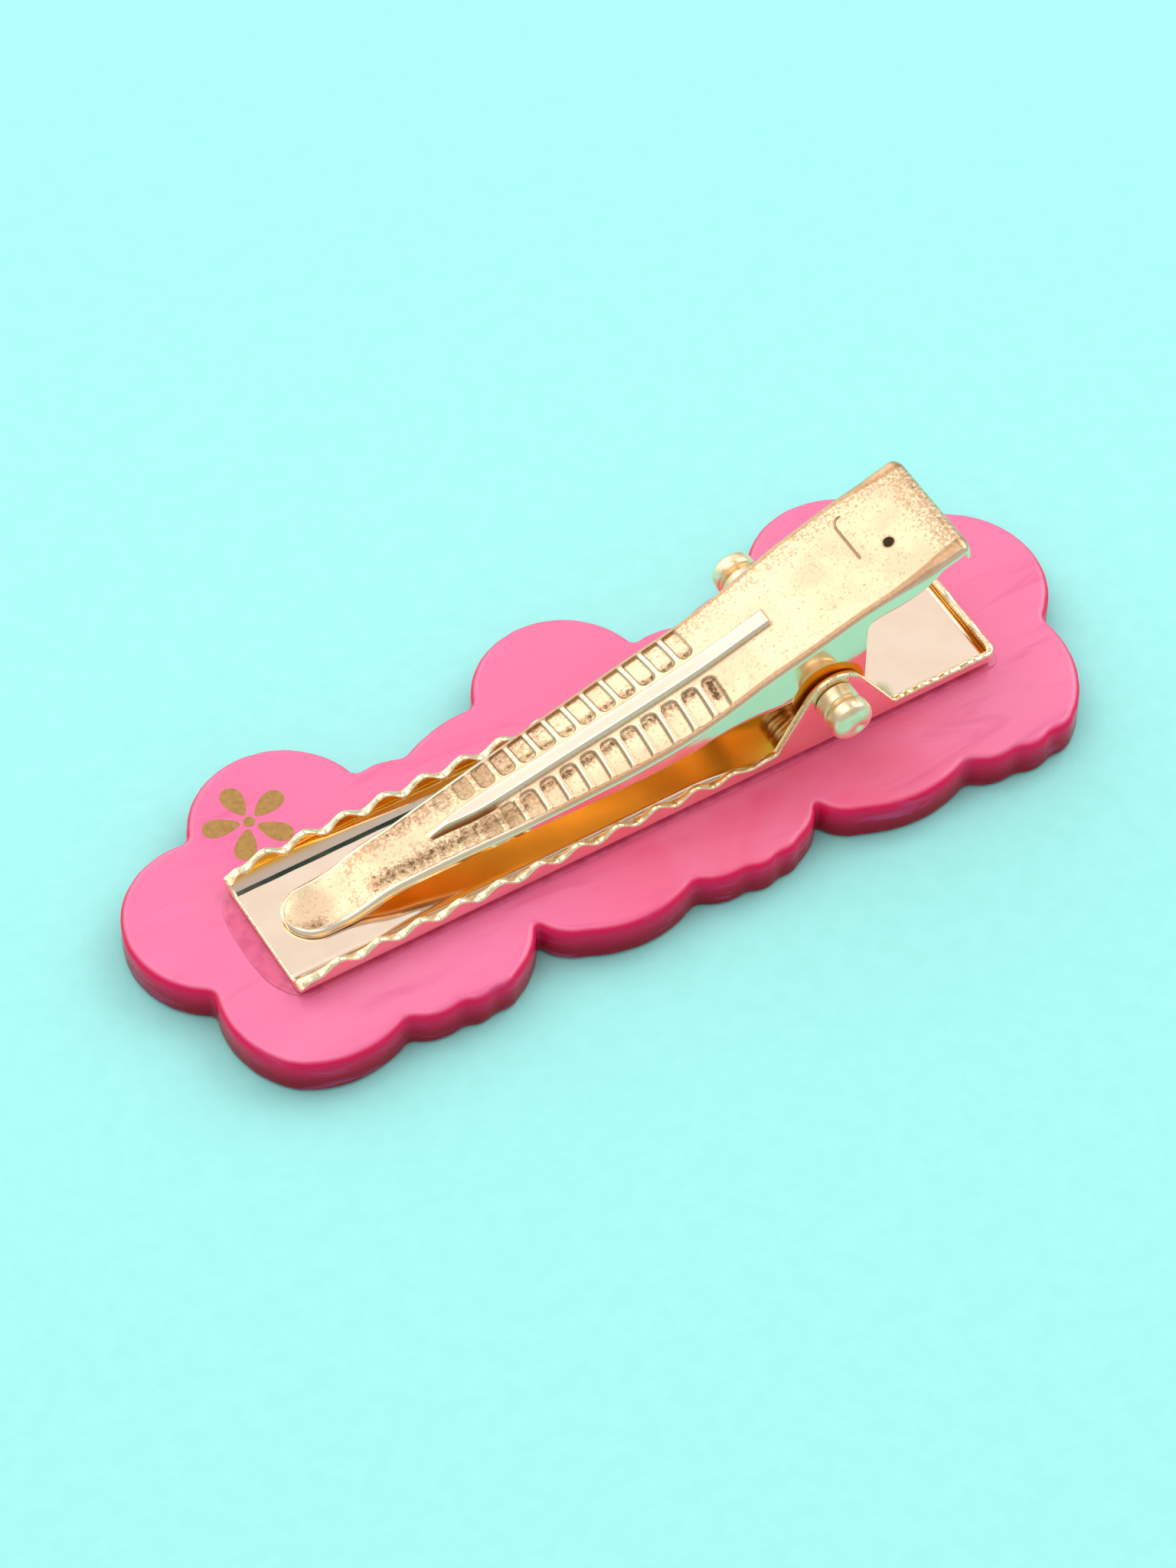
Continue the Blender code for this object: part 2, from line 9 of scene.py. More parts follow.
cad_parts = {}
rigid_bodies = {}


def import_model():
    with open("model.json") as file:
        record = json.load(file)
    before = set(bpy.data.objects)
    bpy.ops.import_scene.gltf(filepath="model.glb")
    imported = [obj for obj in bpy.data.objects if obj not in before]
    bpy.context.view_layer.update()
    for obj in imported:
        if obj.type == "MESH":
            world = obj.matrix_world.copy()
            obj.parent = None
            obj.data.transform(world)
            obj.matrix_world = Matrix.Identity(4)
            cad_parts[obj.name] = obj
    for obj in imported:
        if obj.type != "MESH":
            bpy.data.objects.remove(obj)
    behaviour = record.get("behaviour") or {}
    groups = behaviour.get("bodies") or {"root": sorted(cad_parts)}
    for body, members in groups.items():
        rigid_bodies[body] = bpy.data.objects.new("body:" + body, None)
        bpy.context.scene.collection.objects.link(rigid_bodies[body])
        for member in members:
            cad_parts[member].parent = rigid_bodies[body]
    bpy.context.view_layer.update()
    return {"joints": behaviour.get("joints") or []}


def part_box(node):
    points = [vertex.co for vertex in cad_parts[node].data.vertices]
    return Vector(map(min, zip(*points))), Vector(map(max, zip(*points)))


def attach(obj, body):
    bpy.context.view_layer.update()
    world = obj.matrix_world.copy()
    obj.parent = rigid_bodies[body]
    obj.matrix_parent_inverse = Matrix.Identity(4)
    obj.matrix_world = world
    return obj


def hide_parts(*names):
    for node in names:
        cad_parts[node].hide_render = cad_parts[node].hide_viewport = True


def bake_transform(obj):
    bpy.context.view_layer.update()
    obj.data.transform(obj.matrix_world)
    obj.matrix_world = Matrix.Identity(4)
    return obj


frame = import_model()

# Every length below is in millimetres in the clip's own frame: X along the clip from the base's front
# edge, Y across it from its middle, Z up from its underside. place() turns such points into the frame's.
MM = 0.001
BASE_LOW, BASE_HIGH = (Vector(corner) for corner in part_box("base_channel"))
PLATE_LOW, PLATE_HIGH = (Vector(corner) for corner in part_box("ornament_plate"))
CLIP_ORIGIN = Vector((BASE_LOW.x, (BASE_LOW.y + BASE_HIGH.y) / 2, BASE_LOW.z))
HINGE = (Vector(frame["joints"][0]["pos_m"]) - CLIP_ORIGIN) / MM
PLATE_TOP = (PLATE_HIGH.z - CLIP_ORIGIN.z) / MM
TABLE_Z = (PLATE_LOW.z - CLIP_ORIGIN.z) / MM

# Plate.
NOTCH_ROUNDING = 0.5
SCALLOPS = (
    (-4.6, -1.8, 1.15), (-3.0, -9.6, 1.25), (5.4, -10.1, 0.55), (9.2, -10.9, 0.35),
    (11.5, -11.1, 0.25), (13.5, -10.8, 0.35), (16.5, -7.9, 0.45), (19.1, -10.3, 1.10),
    (27.5, -10.3, 0.45), (31.1, -11.2, 0.40), (33.5, -11.3, 0.25), (35.4, -11.0, 0.35),
    (37.9, -8.9, 0.45), (40.3, -11.1, 1.00), (48.8, -11.2, 0.50), (52.3, -12.1, 0.45),
    (55.1, -12.1, 0.35), (57.5, -11.5, 1.15), (60.2, -3.5, 4.40), (56.8, 9.1, 4.40),
    (44.5, 10.4, 0.35), (37.9, 9.1, 0.30), (34.5, 9.3, 4.90), (22.1, 10.2, 0.50),
    (15.9, 8.8, 0.35), (12.3, 9.3, 4.90), (-0.2, 10.1, 5.40),
)
TOP_RIM = 0.55
BOTTOM_RIM = 0.45

# Printed flower.
FLOWER_CENTRE = (4.1, 9.3)
FLOWER_MIDDLE = 0.42
FOIL_LIFT = 0.012

# Glue ring.
GLUE_SIDE = 0.04
GLUE_FRONT = 1.45
GLUE_REAR = 0.35
GLUE_CORNER = 0.9
GLUE_HEIGHT = 0.15

# Base channel.
SHEET = 0.5
BASE_LENGTH = (BASE_HIGH.x - BASE_LOW.x) / MM
BASE_WIDTH = (BASE_HIGH.y - BASE_LOW.y) / MM
BASE_BEND = 0.8
INNER_BEND_FRONT = 1.25
INNER_BEND_REAR = 0.45
TOOTH_PITCH = 3.06
TOOTH_TROUGH = 1.30
TOOTH_HEIGHT = 0.75
TOOTH_FADE = (31.0, 36.0)
FRONT_WALL = 0.85
REAR_WALL = 1.35
EAR_RADIUS = 2.45
EAR_CENTRE = (41.55, 4.55)
EAR_FEET = (36.9, 46.5)
EDGE_ROUNDING = 0.2
BURR = 0.012
REAR_BURR = 0.10

# Lever.
NOSE_X = 1.75
NOSE_RADIUS = 2.2
LEVER_BEND = 0.45
LEVER_BEND_REAR = 1.05
FLANGE_LEAN = 0.14
FLANGE_MARGIN = 0.11
LEVER_EDGE_ROUNDING = 0.10
LEVER_TOP = (
    (1.0, 1.08), (5.2, 1.10), (6.5, 1.40), (8.5, 2.15), (11.0, 2.55), (14.0, 3.05), (19.0, 3.80),
    (25.0, 4.85), (28.0, 5.45), (31.0, 6.15), (34.0, 7.00), (37.0, 8.15), (40.0, 9.35),
    (43.0, 10.60), (46.0, 11.60), (49.0, 12.55), (53.0, 13.85),
)
LEVER_CROWN = (
    (13.0, 0.0), (17.0, 0.10), (20.0, 0.28), (24.0, 0.50), (28.0, 0.60), (32.0, 0.60), (36.0, 0.45),
    (40.0, 0.22), (44.0, 0.05), (47.0, 0.0),
)
LEVER_HALF_WIDTH = (
    (3.9, 2.20), (8.0, 2.30), (11.0, 2.45), (14.0, 2.75), (19.0, 3.30), (25.0, 3.85), (31.0, 4.20),
    (37.0, 4.38), (40.0, 4.55), (43.0, 4.70), (53.0, 4.72),
)
FLANGE_EDGE_FRONT = (
    (1.0, 0.56), (6.0, 0.60), (7.0, 0.85), (9.0, 1.60), (11.0, 1.95), (14.0, 2.35), (19.0, 3.00),
    (25.0, 3.75), (28.0, 4.10), (31.0, 4.65), (34.0, 5.20), (36.3, 5.30), (38.6, 5.10),
)
FLANGE_EDGE_REAR = (
    (44.3, 8.60), (44.5, 9.60), (45.0, 10.05), (47.2, 10.60), (48.9, 11.30), (50.1, 12.25), (51.5, 12.70),
)
LEVER_EAR_RADIUS = 2.9
# Radius of the painted orange reflection ring on the lever's ear.
EAR_REFLECTION_RADIUS = 2.75
HANDLE_TILT_START = 47.0
HANDLE_BEND_X = 51.7
HANDLE_BEND_RADIUS = 0.75
HANDLE_BEND_END = radians(-80.0)
HANDLE_LIP = 0.45
SPEAR_SPAN = (12.6, 39.2)
SPEAR_HALF_WIDTH = 0.46
SPEAR_SLOPE = 0.30
SPEAR_HEIGHT = 0.36
RIB_PITCH = 1.57
REAR_RIB_X = 33.1
RIB_COUNT = 14
RIB_HALF_WIDTH = 0.20
POCKET_DEPTH = 0.20
POCKET_START = 0.95
LEVER_HOLE = (48.4, -0.78)
LEVER_HOLE_RADIUS = 0.36
HOOK_CENTRE = (46.95, 2.5)
HOOK_GROOVE = (46.9, 2.5)
HOOK_RADIUS = 0.62
HOOK_END = -0.5

# Pin.
PIN_SHANK = 0.8
PIN_COLLAR = 1.5
PIN_HEAD = 1.6
PIN_HALF_LENGTH = 8.3
PIN_DOME_START = 7.62

# Spring.
WIRE_RADIUS = 0.35
COIL_RADIUS = 1.35
COIL_PITCH = 0.80
COIL_TURNS = 2
UPPER_LEG_END = (44.9, 10.15)
LOWER_LEG_END = (44.6, 1.0)

# Camera, aimed at a point on the base's underside.
CAMERA_AIM = (25.34, 0.13, 0.0)
CAMERA_DISTANCE = 355.2
CAMERA_AZIMUTH = radians(-30.95)
CAMERA_ELEVATION = radians(52.67)
CAMERA_LENS = 120.0

# Studio: the paper's half width in metres, and where the lights aim.
PAPER_REACH = 1.6
LIGHT_AIM = (25.0, 0.0, 0.0)


def place(points):
    """Clip-frame millimetres to the frame's metres, for one point or an array of them."""
    return np.asarray(points, float) * MM + np.array(CLIP_ORIGIN)


def ramp(low, high, x):
    """0 before low, 1 after high, and an even ease between them."""
    t = np.clip((np.asarray(x, float) - low) / (high - low), 0.0, 1.0)
    return t * t * (3.0 - 2.0 * t)


def curve(rows, x):
    """Values at x of the smooth curve through rows of (x, value)."""
    knots, values = np.array(rows, float).T
    before = np.maximum(np.arange(len(knots)) - 1, 0)
    after = np.minimum(np.arange(len(knots)) + 1, len(knots) - 1)
    slopes = (values[after] - values[before]) / (knots[after] - knots[before])
    x = np.clip(np.asarray(x, float), knots[0], knots[-1])
    i = np.clip(np.searchsorted(knots, x, side="right") - 1, 0, len(knots) - 2)
    span = knots[i + 1] - knots[i]
    t = (x - knots[i]) / span
    return (
        values[i] * (2 * t**3 - 3 * t**2 + 1)
        + slopes[i] * span * (t**3 - 2 * t**2 + t)
        + values[i + 1] * (3 * t**2 - 2 * t**3)
        + slopes[i + 1] * span * (t**3 - t**2)
    )


def wobble(points, scale, seed=0.0):
    """Smooth noise from -1 to 1 at each of an (n, 3) array of points."""
    return np.array([
        noise.noise(Vector((p[0] * scale + seed, p[1] * scale, p[2] * scale))) for p in points])


def add_piece(name, points, faces, material, smooth_angle=35.0, values=None, weld=False):
    """A mesh piece from clip-frame points, with optional named values stored on its points."""
    mesh = bpy.data.meshes.new(name)
    mesh.from_pydata(place(points).tolist(), [], faces)
    mesh.update()
    for key, value in (values or {}).items():
        attribute = mesh.attributes.new(key, "FLOAT", "POINT")
        attribute.data.foreach_set("value", np.asarray(value, np.float32).ravel())
    if weld:
        shell = bmesh.new()
        shell.from_mesh(mesh)
        bmesh.ops.remove_doubles(shell, verts=shell.verts, dist=1e-6)
        bmesh.ops.dissolve_degenerate(shell, edges=shell.edges, dist=1e-6)
        shell.to_mesh(mesh)
        shell.free()
    mesh.shade_smooth()
    mesh.set_sharp_from_angle(angle=radians(smooth_angle))
    mesh.materials.append(material)
    piece = bpy.data.objects.new(name, mesh)
    bpy.context.scene.collection.objects.link(piece)
    return piece


def strip_faces(rows, columns, closed_columns):
    """Quads over a grid of points stored row by row."""
    faces = []
    last = columns if closed_columns else columns - 1
    for i in range(rows - 1):
        for j in range(last):
            k = (j + 1) % columns
            faces.append((i * columns + j, i * columns + k, (i + 1) * columns + k, (i + 1) * columns + j))
    return faces


def capped_faces(rows, columns):
    """Quads round closed rows of points, with a cap on the first row and on the last."""
    faces = strip_faces(rows, columns, True)
    faces.append(tuple(range(columns))[::-1])
    faces.append(tuple(range((rows - 1) * columns, rows * columns)))
    return faces


# --- materials

class Nodes:
    """A short way to write a node tree: each method adds a node and returns its output."""

    def __init__(self, name):
        self.material = bpy.data.materials.new(name)
        self.material.use_nodes = True
        self.tree = self.material.node_tree
        self.shader = self.tree.nodes["Principled BSDF"]
        self.texture = self.tree.nodes.new("ShaderNodeTexCoord").outputs["Object"]

    def add(self, kind, **inputs):
        node = self.tree.nodes.new(kind)
        for key, value in inputs.items():
            self.join(value, node.inputs[key.replace("_", " ")])
        return node

    def join(self, value, socket):
        if isinstance(value, bpy.types.NodeSocket):
            self.tree.links.new(value, socket)
        elif socket.type == "RGBA":
            socket.default_value = (*value, 1.0)
        else:
            socket.default_value = value

    def set(self, **inputs):
        for key, value in inputs.items():
            self.join(value, self.shader.inputs[key.replace("_", " ")])

    def position(self, stretch=(1.0, 1.0, 1.0)):
        """The point on the surface in the clip frame's millimetres, stretched along each axis."""
        node = self.add("ShaderNodeMapping", Vector=self.texture)
        node.inputs["Scale"].default_value = [s / MM for s in stretch]
        node.inputs["Location"].default_value = [-o * s / MM for o, s in zip(CLIP_ORIGIN, stretch)]
        return node.outputs["Vector"]

    def noise(self, size, detail=2.0, rough=0.5, stretch=(1.0, 1.0, 1.0), warp=0.0):
        """Noise whose blotches are about size millimetres across."""
        node = self.add("ShaderNodeTexNoise", Vector=self.position(stretch), Scale=1.0 / size,
                        Detail=detail, Roughness=rough, Distortion=warp)
        return node.outputs["Fac"]

    def value(self, name):
        node = self.add("ShaderNodeAttribute")
        node.attribute_name = name
        return node.outputs["Fac"]

    def math(self, operation, a, b=0.0):
        node = self.tree.nodes.new("ShaderNodeMath")
        node.operation = operation
        self.join(a, node.inputs[0])
        self.join(b, node.inputs[1])
        return node.outputs["Value"]

    def length(self, a, b):
        squares = self.math("ADD", self.math("MULTIPLY", a, a), self.math("MULTIPLY", b, b))
        return self.math("SQRT", squares)

    def distance(self, x, y, centre):
        return self.length(self.math("SUBTRACT", x, centre[0]), self.math("SUBTRACT", y, centre[1]))

    def between(self, value, low, high, to_low=0.0, to_high=1.0):
        """Eases from to_low to to_high as value goes from low to high."""
        node = self.add("ShaderNodeMapRange", Value=value)
        node.interpolation_type = "SMOOTHSTEP"
        sockets = ("From Min", "From Max", "To Min", "To Max")
        for socket, number in zip(sockets, (low, high, to_low, to_high)):
            node.inputs[socket].default_value = number
        return node.outputs["Result"]

    def mix(self, share, a, b, blend="MIX"):
        node = self.tree.nodes.new("ShaderNodeMix")
        node.data_type = "RGBA"
        node.blend_type = blend
        self.join(share, node.inputs[0])
        self.join(a, node.inputs[6])
        self.join(b, node.inputs[7])
        return node.outputs[2]

    def axis(self, name):
        node = self.add("ShaderNodeSeparateXYZ", Vector=self.position())
        return node.outputs[name]

    def bump(self, *layers):
        """Bumps from (height, depth in millimetres) layers."""
        normal = None
        for height, depth in layers:
            node = self.add("ShaderNodeBump", Height=height, Distance=depth * MM)
            if normal is not None:
                self.join(normal, node.inputs["Normal"])
            normal = node.outputs["Normal"]
        self.set(Normal=normal)


def worn_gold():
    """The lever's pale gold plating: speckled matte top, rubbed ridges with a painted highlight, polished
    flanges, painted shade in its lines and hole, and painted reflections on its bends, ear and underside.
    """
    n = Nodes("worn_gold")
    tarnish = n.value("tarnish")
    painted_interreflection = n.value("painted_interreflection")
    bright = n.value("bright")
    fold_reflection = n.value("fold_reflection")
    polish = n.value("polish")
    cloud = n.noise(2.6, 3.0)
    speck = n.noise(0.24, 3.0, 0.6)
    fine = n.noise(0.09, 2.0, 0.6)
    matte = n.math("SUBTRACT", 1.0, n.math("MAXIMUM", polish, n.math("MULTIPLY", bright, 0.7)))
    colour = n.mix(n.between(cloud, 0.38, 0.66), (0.96, 0.77, 0.50), (0.92, 0.66, 0.43))
    spread = n.math("ADD", n.math("MULTIPLY", tarnish, 0.32), speck)
    light_speck = n.math("MULTIPLY", n.between(spread, 0.58, 0.74), matte)
    heavy = n.math("ADD", n.math("MULTIPLY", tarnish, 0.36), n.noise(0.34, 4.0, 0.7))
    dark_speck = n.math("MULTIPLY", n.between(heavy, 0.72, 0.95), matte)
    colour = n.mix(n.math("MULTIPLY", light_speck, 0.7), colour, (0.55, 0.31, 0.16))
    colour = n.mix(n.math("MULTIPLY", dark_speck, 0.92), colour, (0.16, 0.09, 0.045))
    # Painted reflection: a brownish band across the flange's curved bend, for what the bend mirrors.
    fold_reflection_share = n.math("MULTIPLY", fold_reflection, n.between(speck, 0.25, 0.55, 0.55, 0.95))
    colour = n.mix(fold_reflection_share, colour, (0.72, 0.40, 0.22))
    # Partly rubbed wear and partly a painted highlight: a pale cream on the spear's top, the rib crests and
    # the front bend.
    colour = n.mix(n.math("MULTIPLY", bright, 0.85), colour, (1.0, 0.90, 0.74))
    colour = n.mix(n.math("MULTIPLY", polish, 0.9), colour, (0.96, 0.80, 0.56))
    x, y = n.axis("X"), n.axis("Y")
    # Painted shade: the hole is not cut, so a near-black disc with a dark rim and a dent stands in for its
    # dark inside.
    to_hole = n.distance(x, y, LEVER_HOLE)
    painted_hole_shade = n.between(to_hole, LEVER_HOLE_RADIUS - 0.06, LEVER_HOLE_RADIUS + 0.06, 1.0, 0.0)
    rim = n.between(to_hole, LEVER_HOLE_RADIUS, LEVER_HOLE_RADIUS + 0.25, 0.6, 0.0)
    # Painted shade along the stamped hook groove.
    along = n.math("MINIMUM", n.math("SUBTRACT", x, HOOK_CENTRE[0]), 0.0)
    across = n.math("MAXIMUM", n.math("SUBTRACT", y, HOOK_CENTRE[1]), 0.0)
    reach = n.math("ABSOLUTE", n.math("SUBTRACT", n.length(along, across), HOOK_RADIUS))
    hook = n.between(reach, 0.03, 0.10, 1.0, 0.0)
    hook = n.math("MULTIPLY", hook, n.between(x, HOOK_CENTRE[0], HOOK_CENTRE[0] + 0.2, 1.0, 0.0))
    hook = n.math("MULTIPLY", hook, n.between(y, HOOK_END - 0.2, HOOK_END, 0.0, 1.0))
    outer = n.math("SUBTRACT", 1.0, painted_interreflection)
    # Painted shade: dark lines in the stamped hook groove, round the hole, along the spear, slot, pocket
    # walls and bend; the cross line among them is a real scratch.
    line = n.math("MAXIMUM", n.math("MAXIMUM", hook, rim), n.value("shade_and_scratch_lines"))
    colour = n.mix(n.math("MULTIPLY", n.math("MULTIPLY", line, outer), 0.85), colour, (0.42, 0.24, 0.12))
    colour = n.mix(n.math("MULTIPLY", painted_hole_shade, outer), colour, (0.05, 0.03, 0.015))
    # Painted reflection: an orange ring on the polished ear round the pin, for the base's orange interior
    # mirrored in it.
    to_pin = n.distance(x, n.axis("Z"), (HINGE.x, HINGE.z))
    near_pin = n.between(to_pin, EAR_REFLECTION_RADIUS - 0.05, EAR_REFLECTION_RADIUS + 0.05, 1.0, 0.0)
    painted_ear_reflection = n.math("MULTIPLY", near_pin, polish)
    # Painted reflection: the lever's underside and inner faces are coloured orange for the base's orange
    # interior mirrored in them.
    colour = n.mix(painted_interreflection, colour, (0.95, 0.48, 0.05))
    colour = n.mix(painted_ear_reflection, colour, (1.0, 0.30, 0.01))
    rough = n.math("ADD", n.math("MULTIPLY", matte, 0.24), n.math("MULTIPLY", dark_speck, 0.25))
    rough = n.math("ADD", rough, n.math("MULTIPLY", painted_ear_reflection, 0.3))
    rough = n.math("ADD", rough, n.between(cloud, 0.3, 0.7, 0.08, 0.12))
    n.set(Base_Color=colour, Metallic=1.0, Roughness=rough)
    n.bump((n.math("MULTIPLY", fine, matte), 0.008), (n.math("MULTIPLY", speck, matte), 0.012),
           (painted_hole_shade, -0.3), (hook, -0.04))
    return n.material


def bright_gold():
    """The base's bright plating, with a painted orange reflection on its inner walls and bends where they
    face each other.
    """
    n = Nodes("bright_gold")
    painted_interreflection = n.value("painted_interreflection")
    edge = n.value("edge")
    cloud = n.noise(3.0, 2.0)
    pits = n.noise(0.22, 3.0, 0.6)
    colour = n.mix(n.between(cloud, 0.35, 0.65), (0.99, 0.80, 0.65), (0.97, 0.76, 0.60))
    # Painted reflection: the orange the inner walls mirror in each other is painted into the colour.
    colour = n.mix(painted_interreflection, colour, (1.0, 0.52, 0.05))
    colour = n.mix(edge, colour, (1.0, 0.84, 0.56))
    worn = n.math("MULTIPLY", edge, n.between(pits, 0.58, 0.72, 0.0, 0.8))
    colour = n.mix(worn, colour, (0.50, 0.26, 0.07))
    rough = n.math("ADD", n.between(cloud, 0.3, 0.7, 0.07, 0.12), n.math("MULTIPLY", edge, 0.14))
    n.set(Base_Color=colour, Metallic=1.0, Roughness=rough)
    n.bump((cloud, 0.02), (n.math("MULTIPLY", pits, edge), 0.025))
    return n.material


def pin_gold():
    """Polished champagne rivet metal with faint turning marks and handling dents."""
    n = Nodes("pin_gold")
    cloud = n.noise(0.9, 2.0)
    rings = n.noise(0.12, 2.0, 0.5, stretch=(0.05, 1.0, 0.05))
    colour = n.mix(n.between(cloud, 0.4, 0.6), (1.0, 0.84, 0.58), (0.96, 0.74, 0.46))
    n.set(Base_Color=colour, Metallic=1.0, Roughness=n.between(rings, 0.3, 0.7, 0.28, 0.38))
    n.bump((cloud, 0.012), (rings, 0.006))
    return n.material


def spring_wire():
    """Spring wire under the same pale gold plating, dulled by fine drawing marks."""
    n = Nodes("spring_wire")
    cloud = n.noise(1.4, 3.0)
    grain = n.noise(0.06, 2.0, 0.5)
    colour = n.mix(n.between(cloud, 0.35, 0.65), (0.95, 0.66, 0.30), (0.88, 0.54, 0.20))
    n.set(Base_Color=colour, Metallic=1.0, Roughness=n.between(grain, 0.3, 0.7, 0.22, 0.36))
    n.bump((grain, 0.006))
    return n.material


def pearl_acetate():
    """Pearly pink sheet: milky swirls on the faces and a painted reflection of the clip beside it; crimson
    round the edge with streaks, painted darker to burgundy towards the bottom.
    """
    n = Nodes("pearl_acetate")
    side = n.value("side")
    low = n.value("low")
    swirl = n.noise(9.0, 3.0, 0.5, stretch=(0.5, 1.0, 1.0), warp=1.2)
    veins = n.noise(2.6, 3.0, 0.5, stretch=(0.22, 1.0, 1.0), warp=1.4)
    along, across = n.axis("X"), n.axis("Y")
    # Painted reflection: a redder zone on the near face beside the clip, for the clip's gold wall mirrored
    # in the sheet.
    clip_reflection = n.math("MULTIPLY", n.between(along, 12.0, 32.0), n.between(along, 40.0, 56.0, 1.0, 0.0))
    clip_reflection = n.math("MULTIPLY", clip_reflection, n.between(across, -7.0, 2.0, 1.0, 0.0))
    face = n.mix(clip_reflection, (0.98, 0.185, 0.395), (1.0, 0.115, 0.25))
    face = n.mix(n.between(swirl, 0.42, 0.70, 0.0, 0.6), face, (1.0, 0.225, 0.43))
    face = n.mix(n.between(veins, 0.54, 0.80, 0.0, 0.5), face, (0.78, 0.085, 0.27))
    hot = n.math("MULTIPLY", n.value("hot"), n.between(veins, 0.30, 0.55))
    face = n.mix(hot, face, (1.0, 0.02, 0.26))
    streaks = n.noise(1.6, 3.0, 0.6, stretch=(0.35, 0.35, 2.0), warp=0.6)
    # Painted shade: the side darkens from crimson to burgundy towards its bottom, next to the paper.
    wall = n.mix(low, (0.86, 0.012, 0.10), (0.34, 0.006, 0.024))
    wall = n.mix(n.between(streaks, 0.54, 0.74, 0.0, 0.55), wall, (0.62, 0.09, 0.26))
    n.set(Base_Color=n.mix(side, face, wall), Roughness=n.between(swirl, 0.3, 0.7, 0.24, 0.32),
          Specular_IOR_Level=n.between(side, 0.3, 1.0, 0.5, 0.10),
          Coat_Weight=n.between(side, 0.4, 1.0, 0.40, 0.05), Coat_Roughness=0.06)
    n.bump((n.noise(5.0, 1.0), 0.04), (n.noise(0.12, 2.0), 0.004))
    return n.material


def glue_film():
    """Clear glue over the acetate: a little deeper and much glossier than the sheet."""
    n = Nodes("glue_film")
    ripple = n.noise(1.1, 2.0)
    colour = n.mix(n.between(ripple, 0.4, 0.65), (0.88, 0.115, 0.27), (0.74, 0.075, 0.22))
    n.set(Base_Color=colour, Roughness=n.between(ripple, 0.3, 0.7, 0.10, 0.20), Coat_Weight=0.6,
          Coat_Roughness=0.04)
    n.bump((ripple, 0.06))
    return n.material


def foil():
    """Matte old-gold foil pressed on the acetate, thin in places."""
    n = Nodes("gold_foil")
    grain = n.noise(0.35, 3.0, 0.6)
    colour = n.mix(n.between(grain, 0.35, 0.70), (0.50, 0.28, 0.065), (0.40, 0.21, 0.06))
    n.set(Base_Color=colour, Metallic=0.25, Roughness=n.between(grain, 0.3, 0.7, 0.42, 0.58))
    n.bump((grain, 0.01))
    return n.material


def aqua_paper():
    """Plain pale aqua paper with a fine tooth."""
    n = Nodes("aqua_paper")
    fibre = n.noise(1.6, 4.0, 0.6)
    colour = n.mix(n.between(fibre, 0.3, 0.7), (0.385, 0.945, 0.91), (0.405, 0.97, 0.945))
    n.set(Base_Color=colour, Roughness=0.85)
    n.bump((fibre, 0.05))
    return n.material


# --- plate

def arc_points(start, end, bulge, step):
    """Points from start up to, but not including, end on an arc that bulges to the right."""
    (x0, y0), (x1, y1) = start, end
    chord = hypot(x1 - x0, y1 - y0)
    radius = (chord**2 / 4 + bulge**2) / (2 * bulge)
    half_angle = asin(min(chord / 2 / radius, 1.0))
    if bulge > radius:
        half_angle = pi - half_angle
    right = ((y1 - y0) / chord, -(x1 - x0) / chord)
    centre_x = (x0 + x1) / 2 - right[0] * (radius - bulge)
    centre_y = (y0 + y1) / 2 - right[1] * (radius - bulge)
    first = atan2(y0 - centre_y, x0 - centre_x)
    count = max(6, round(2 * half_angle * radius / step))
    angles = [first + 2 * half_angle * k / count for k in range(count)]
    return [(centre_x + radius * cos(a), centre_y + radius * sin(a)) for a in angles]


def plate_outline(step=0.16):
    """The scalloped outline with its notches rounded, anticlockwise."""
    notches = [(x, y) for x, y, _ in SCALLOPS]
    arcs = []
    for i, (_, _, bulge) in enumerate(SCALLOPS):
        arcs.append(arc_points(notches[i], notches[(i + 1) % len(notches)], bulge, step))
    points = []
    for i, arc in enumerate(arcs):
        ends = (notches[i], notches[(i + 1) % len(notches)])
        kept = [p for p in arc if min(hypot(p[0] - e[0], p[1] - e[1]) for e in ends) > NOTCH_ROUNDING]
        corner = notches[i]
        before = [p for p in arcs[i - 1] if hypot(p[0] - corner[0], p[1] - corner[1]) > NOTCH_ROUNDING][-1]
        for k in range(1, 6):
            t = k / 6
            points.append(tuple(
                before[c] * (1 - t) ** 2 + 2 * corner[c] * t * (1 - t) + kept[0][c] * t * t
                for c in (0, 1)))
        points += kept
    return np.array(points)


def outward(points):
    """Unit normals of a closed anticlockwise outline."""
    along = np.roll(points, -1, axis=0) - np.roll(points, 1, axis=0)
    along = (along + np.roll(along, 1, axis=0) + np.roll(along, -1, axis=0)) / 3
    normal = np.stack([along[:, 1], -along[:, 0]], axis=1)
    return normal / np.linalg.norm(normal, axis=1)[:, None]


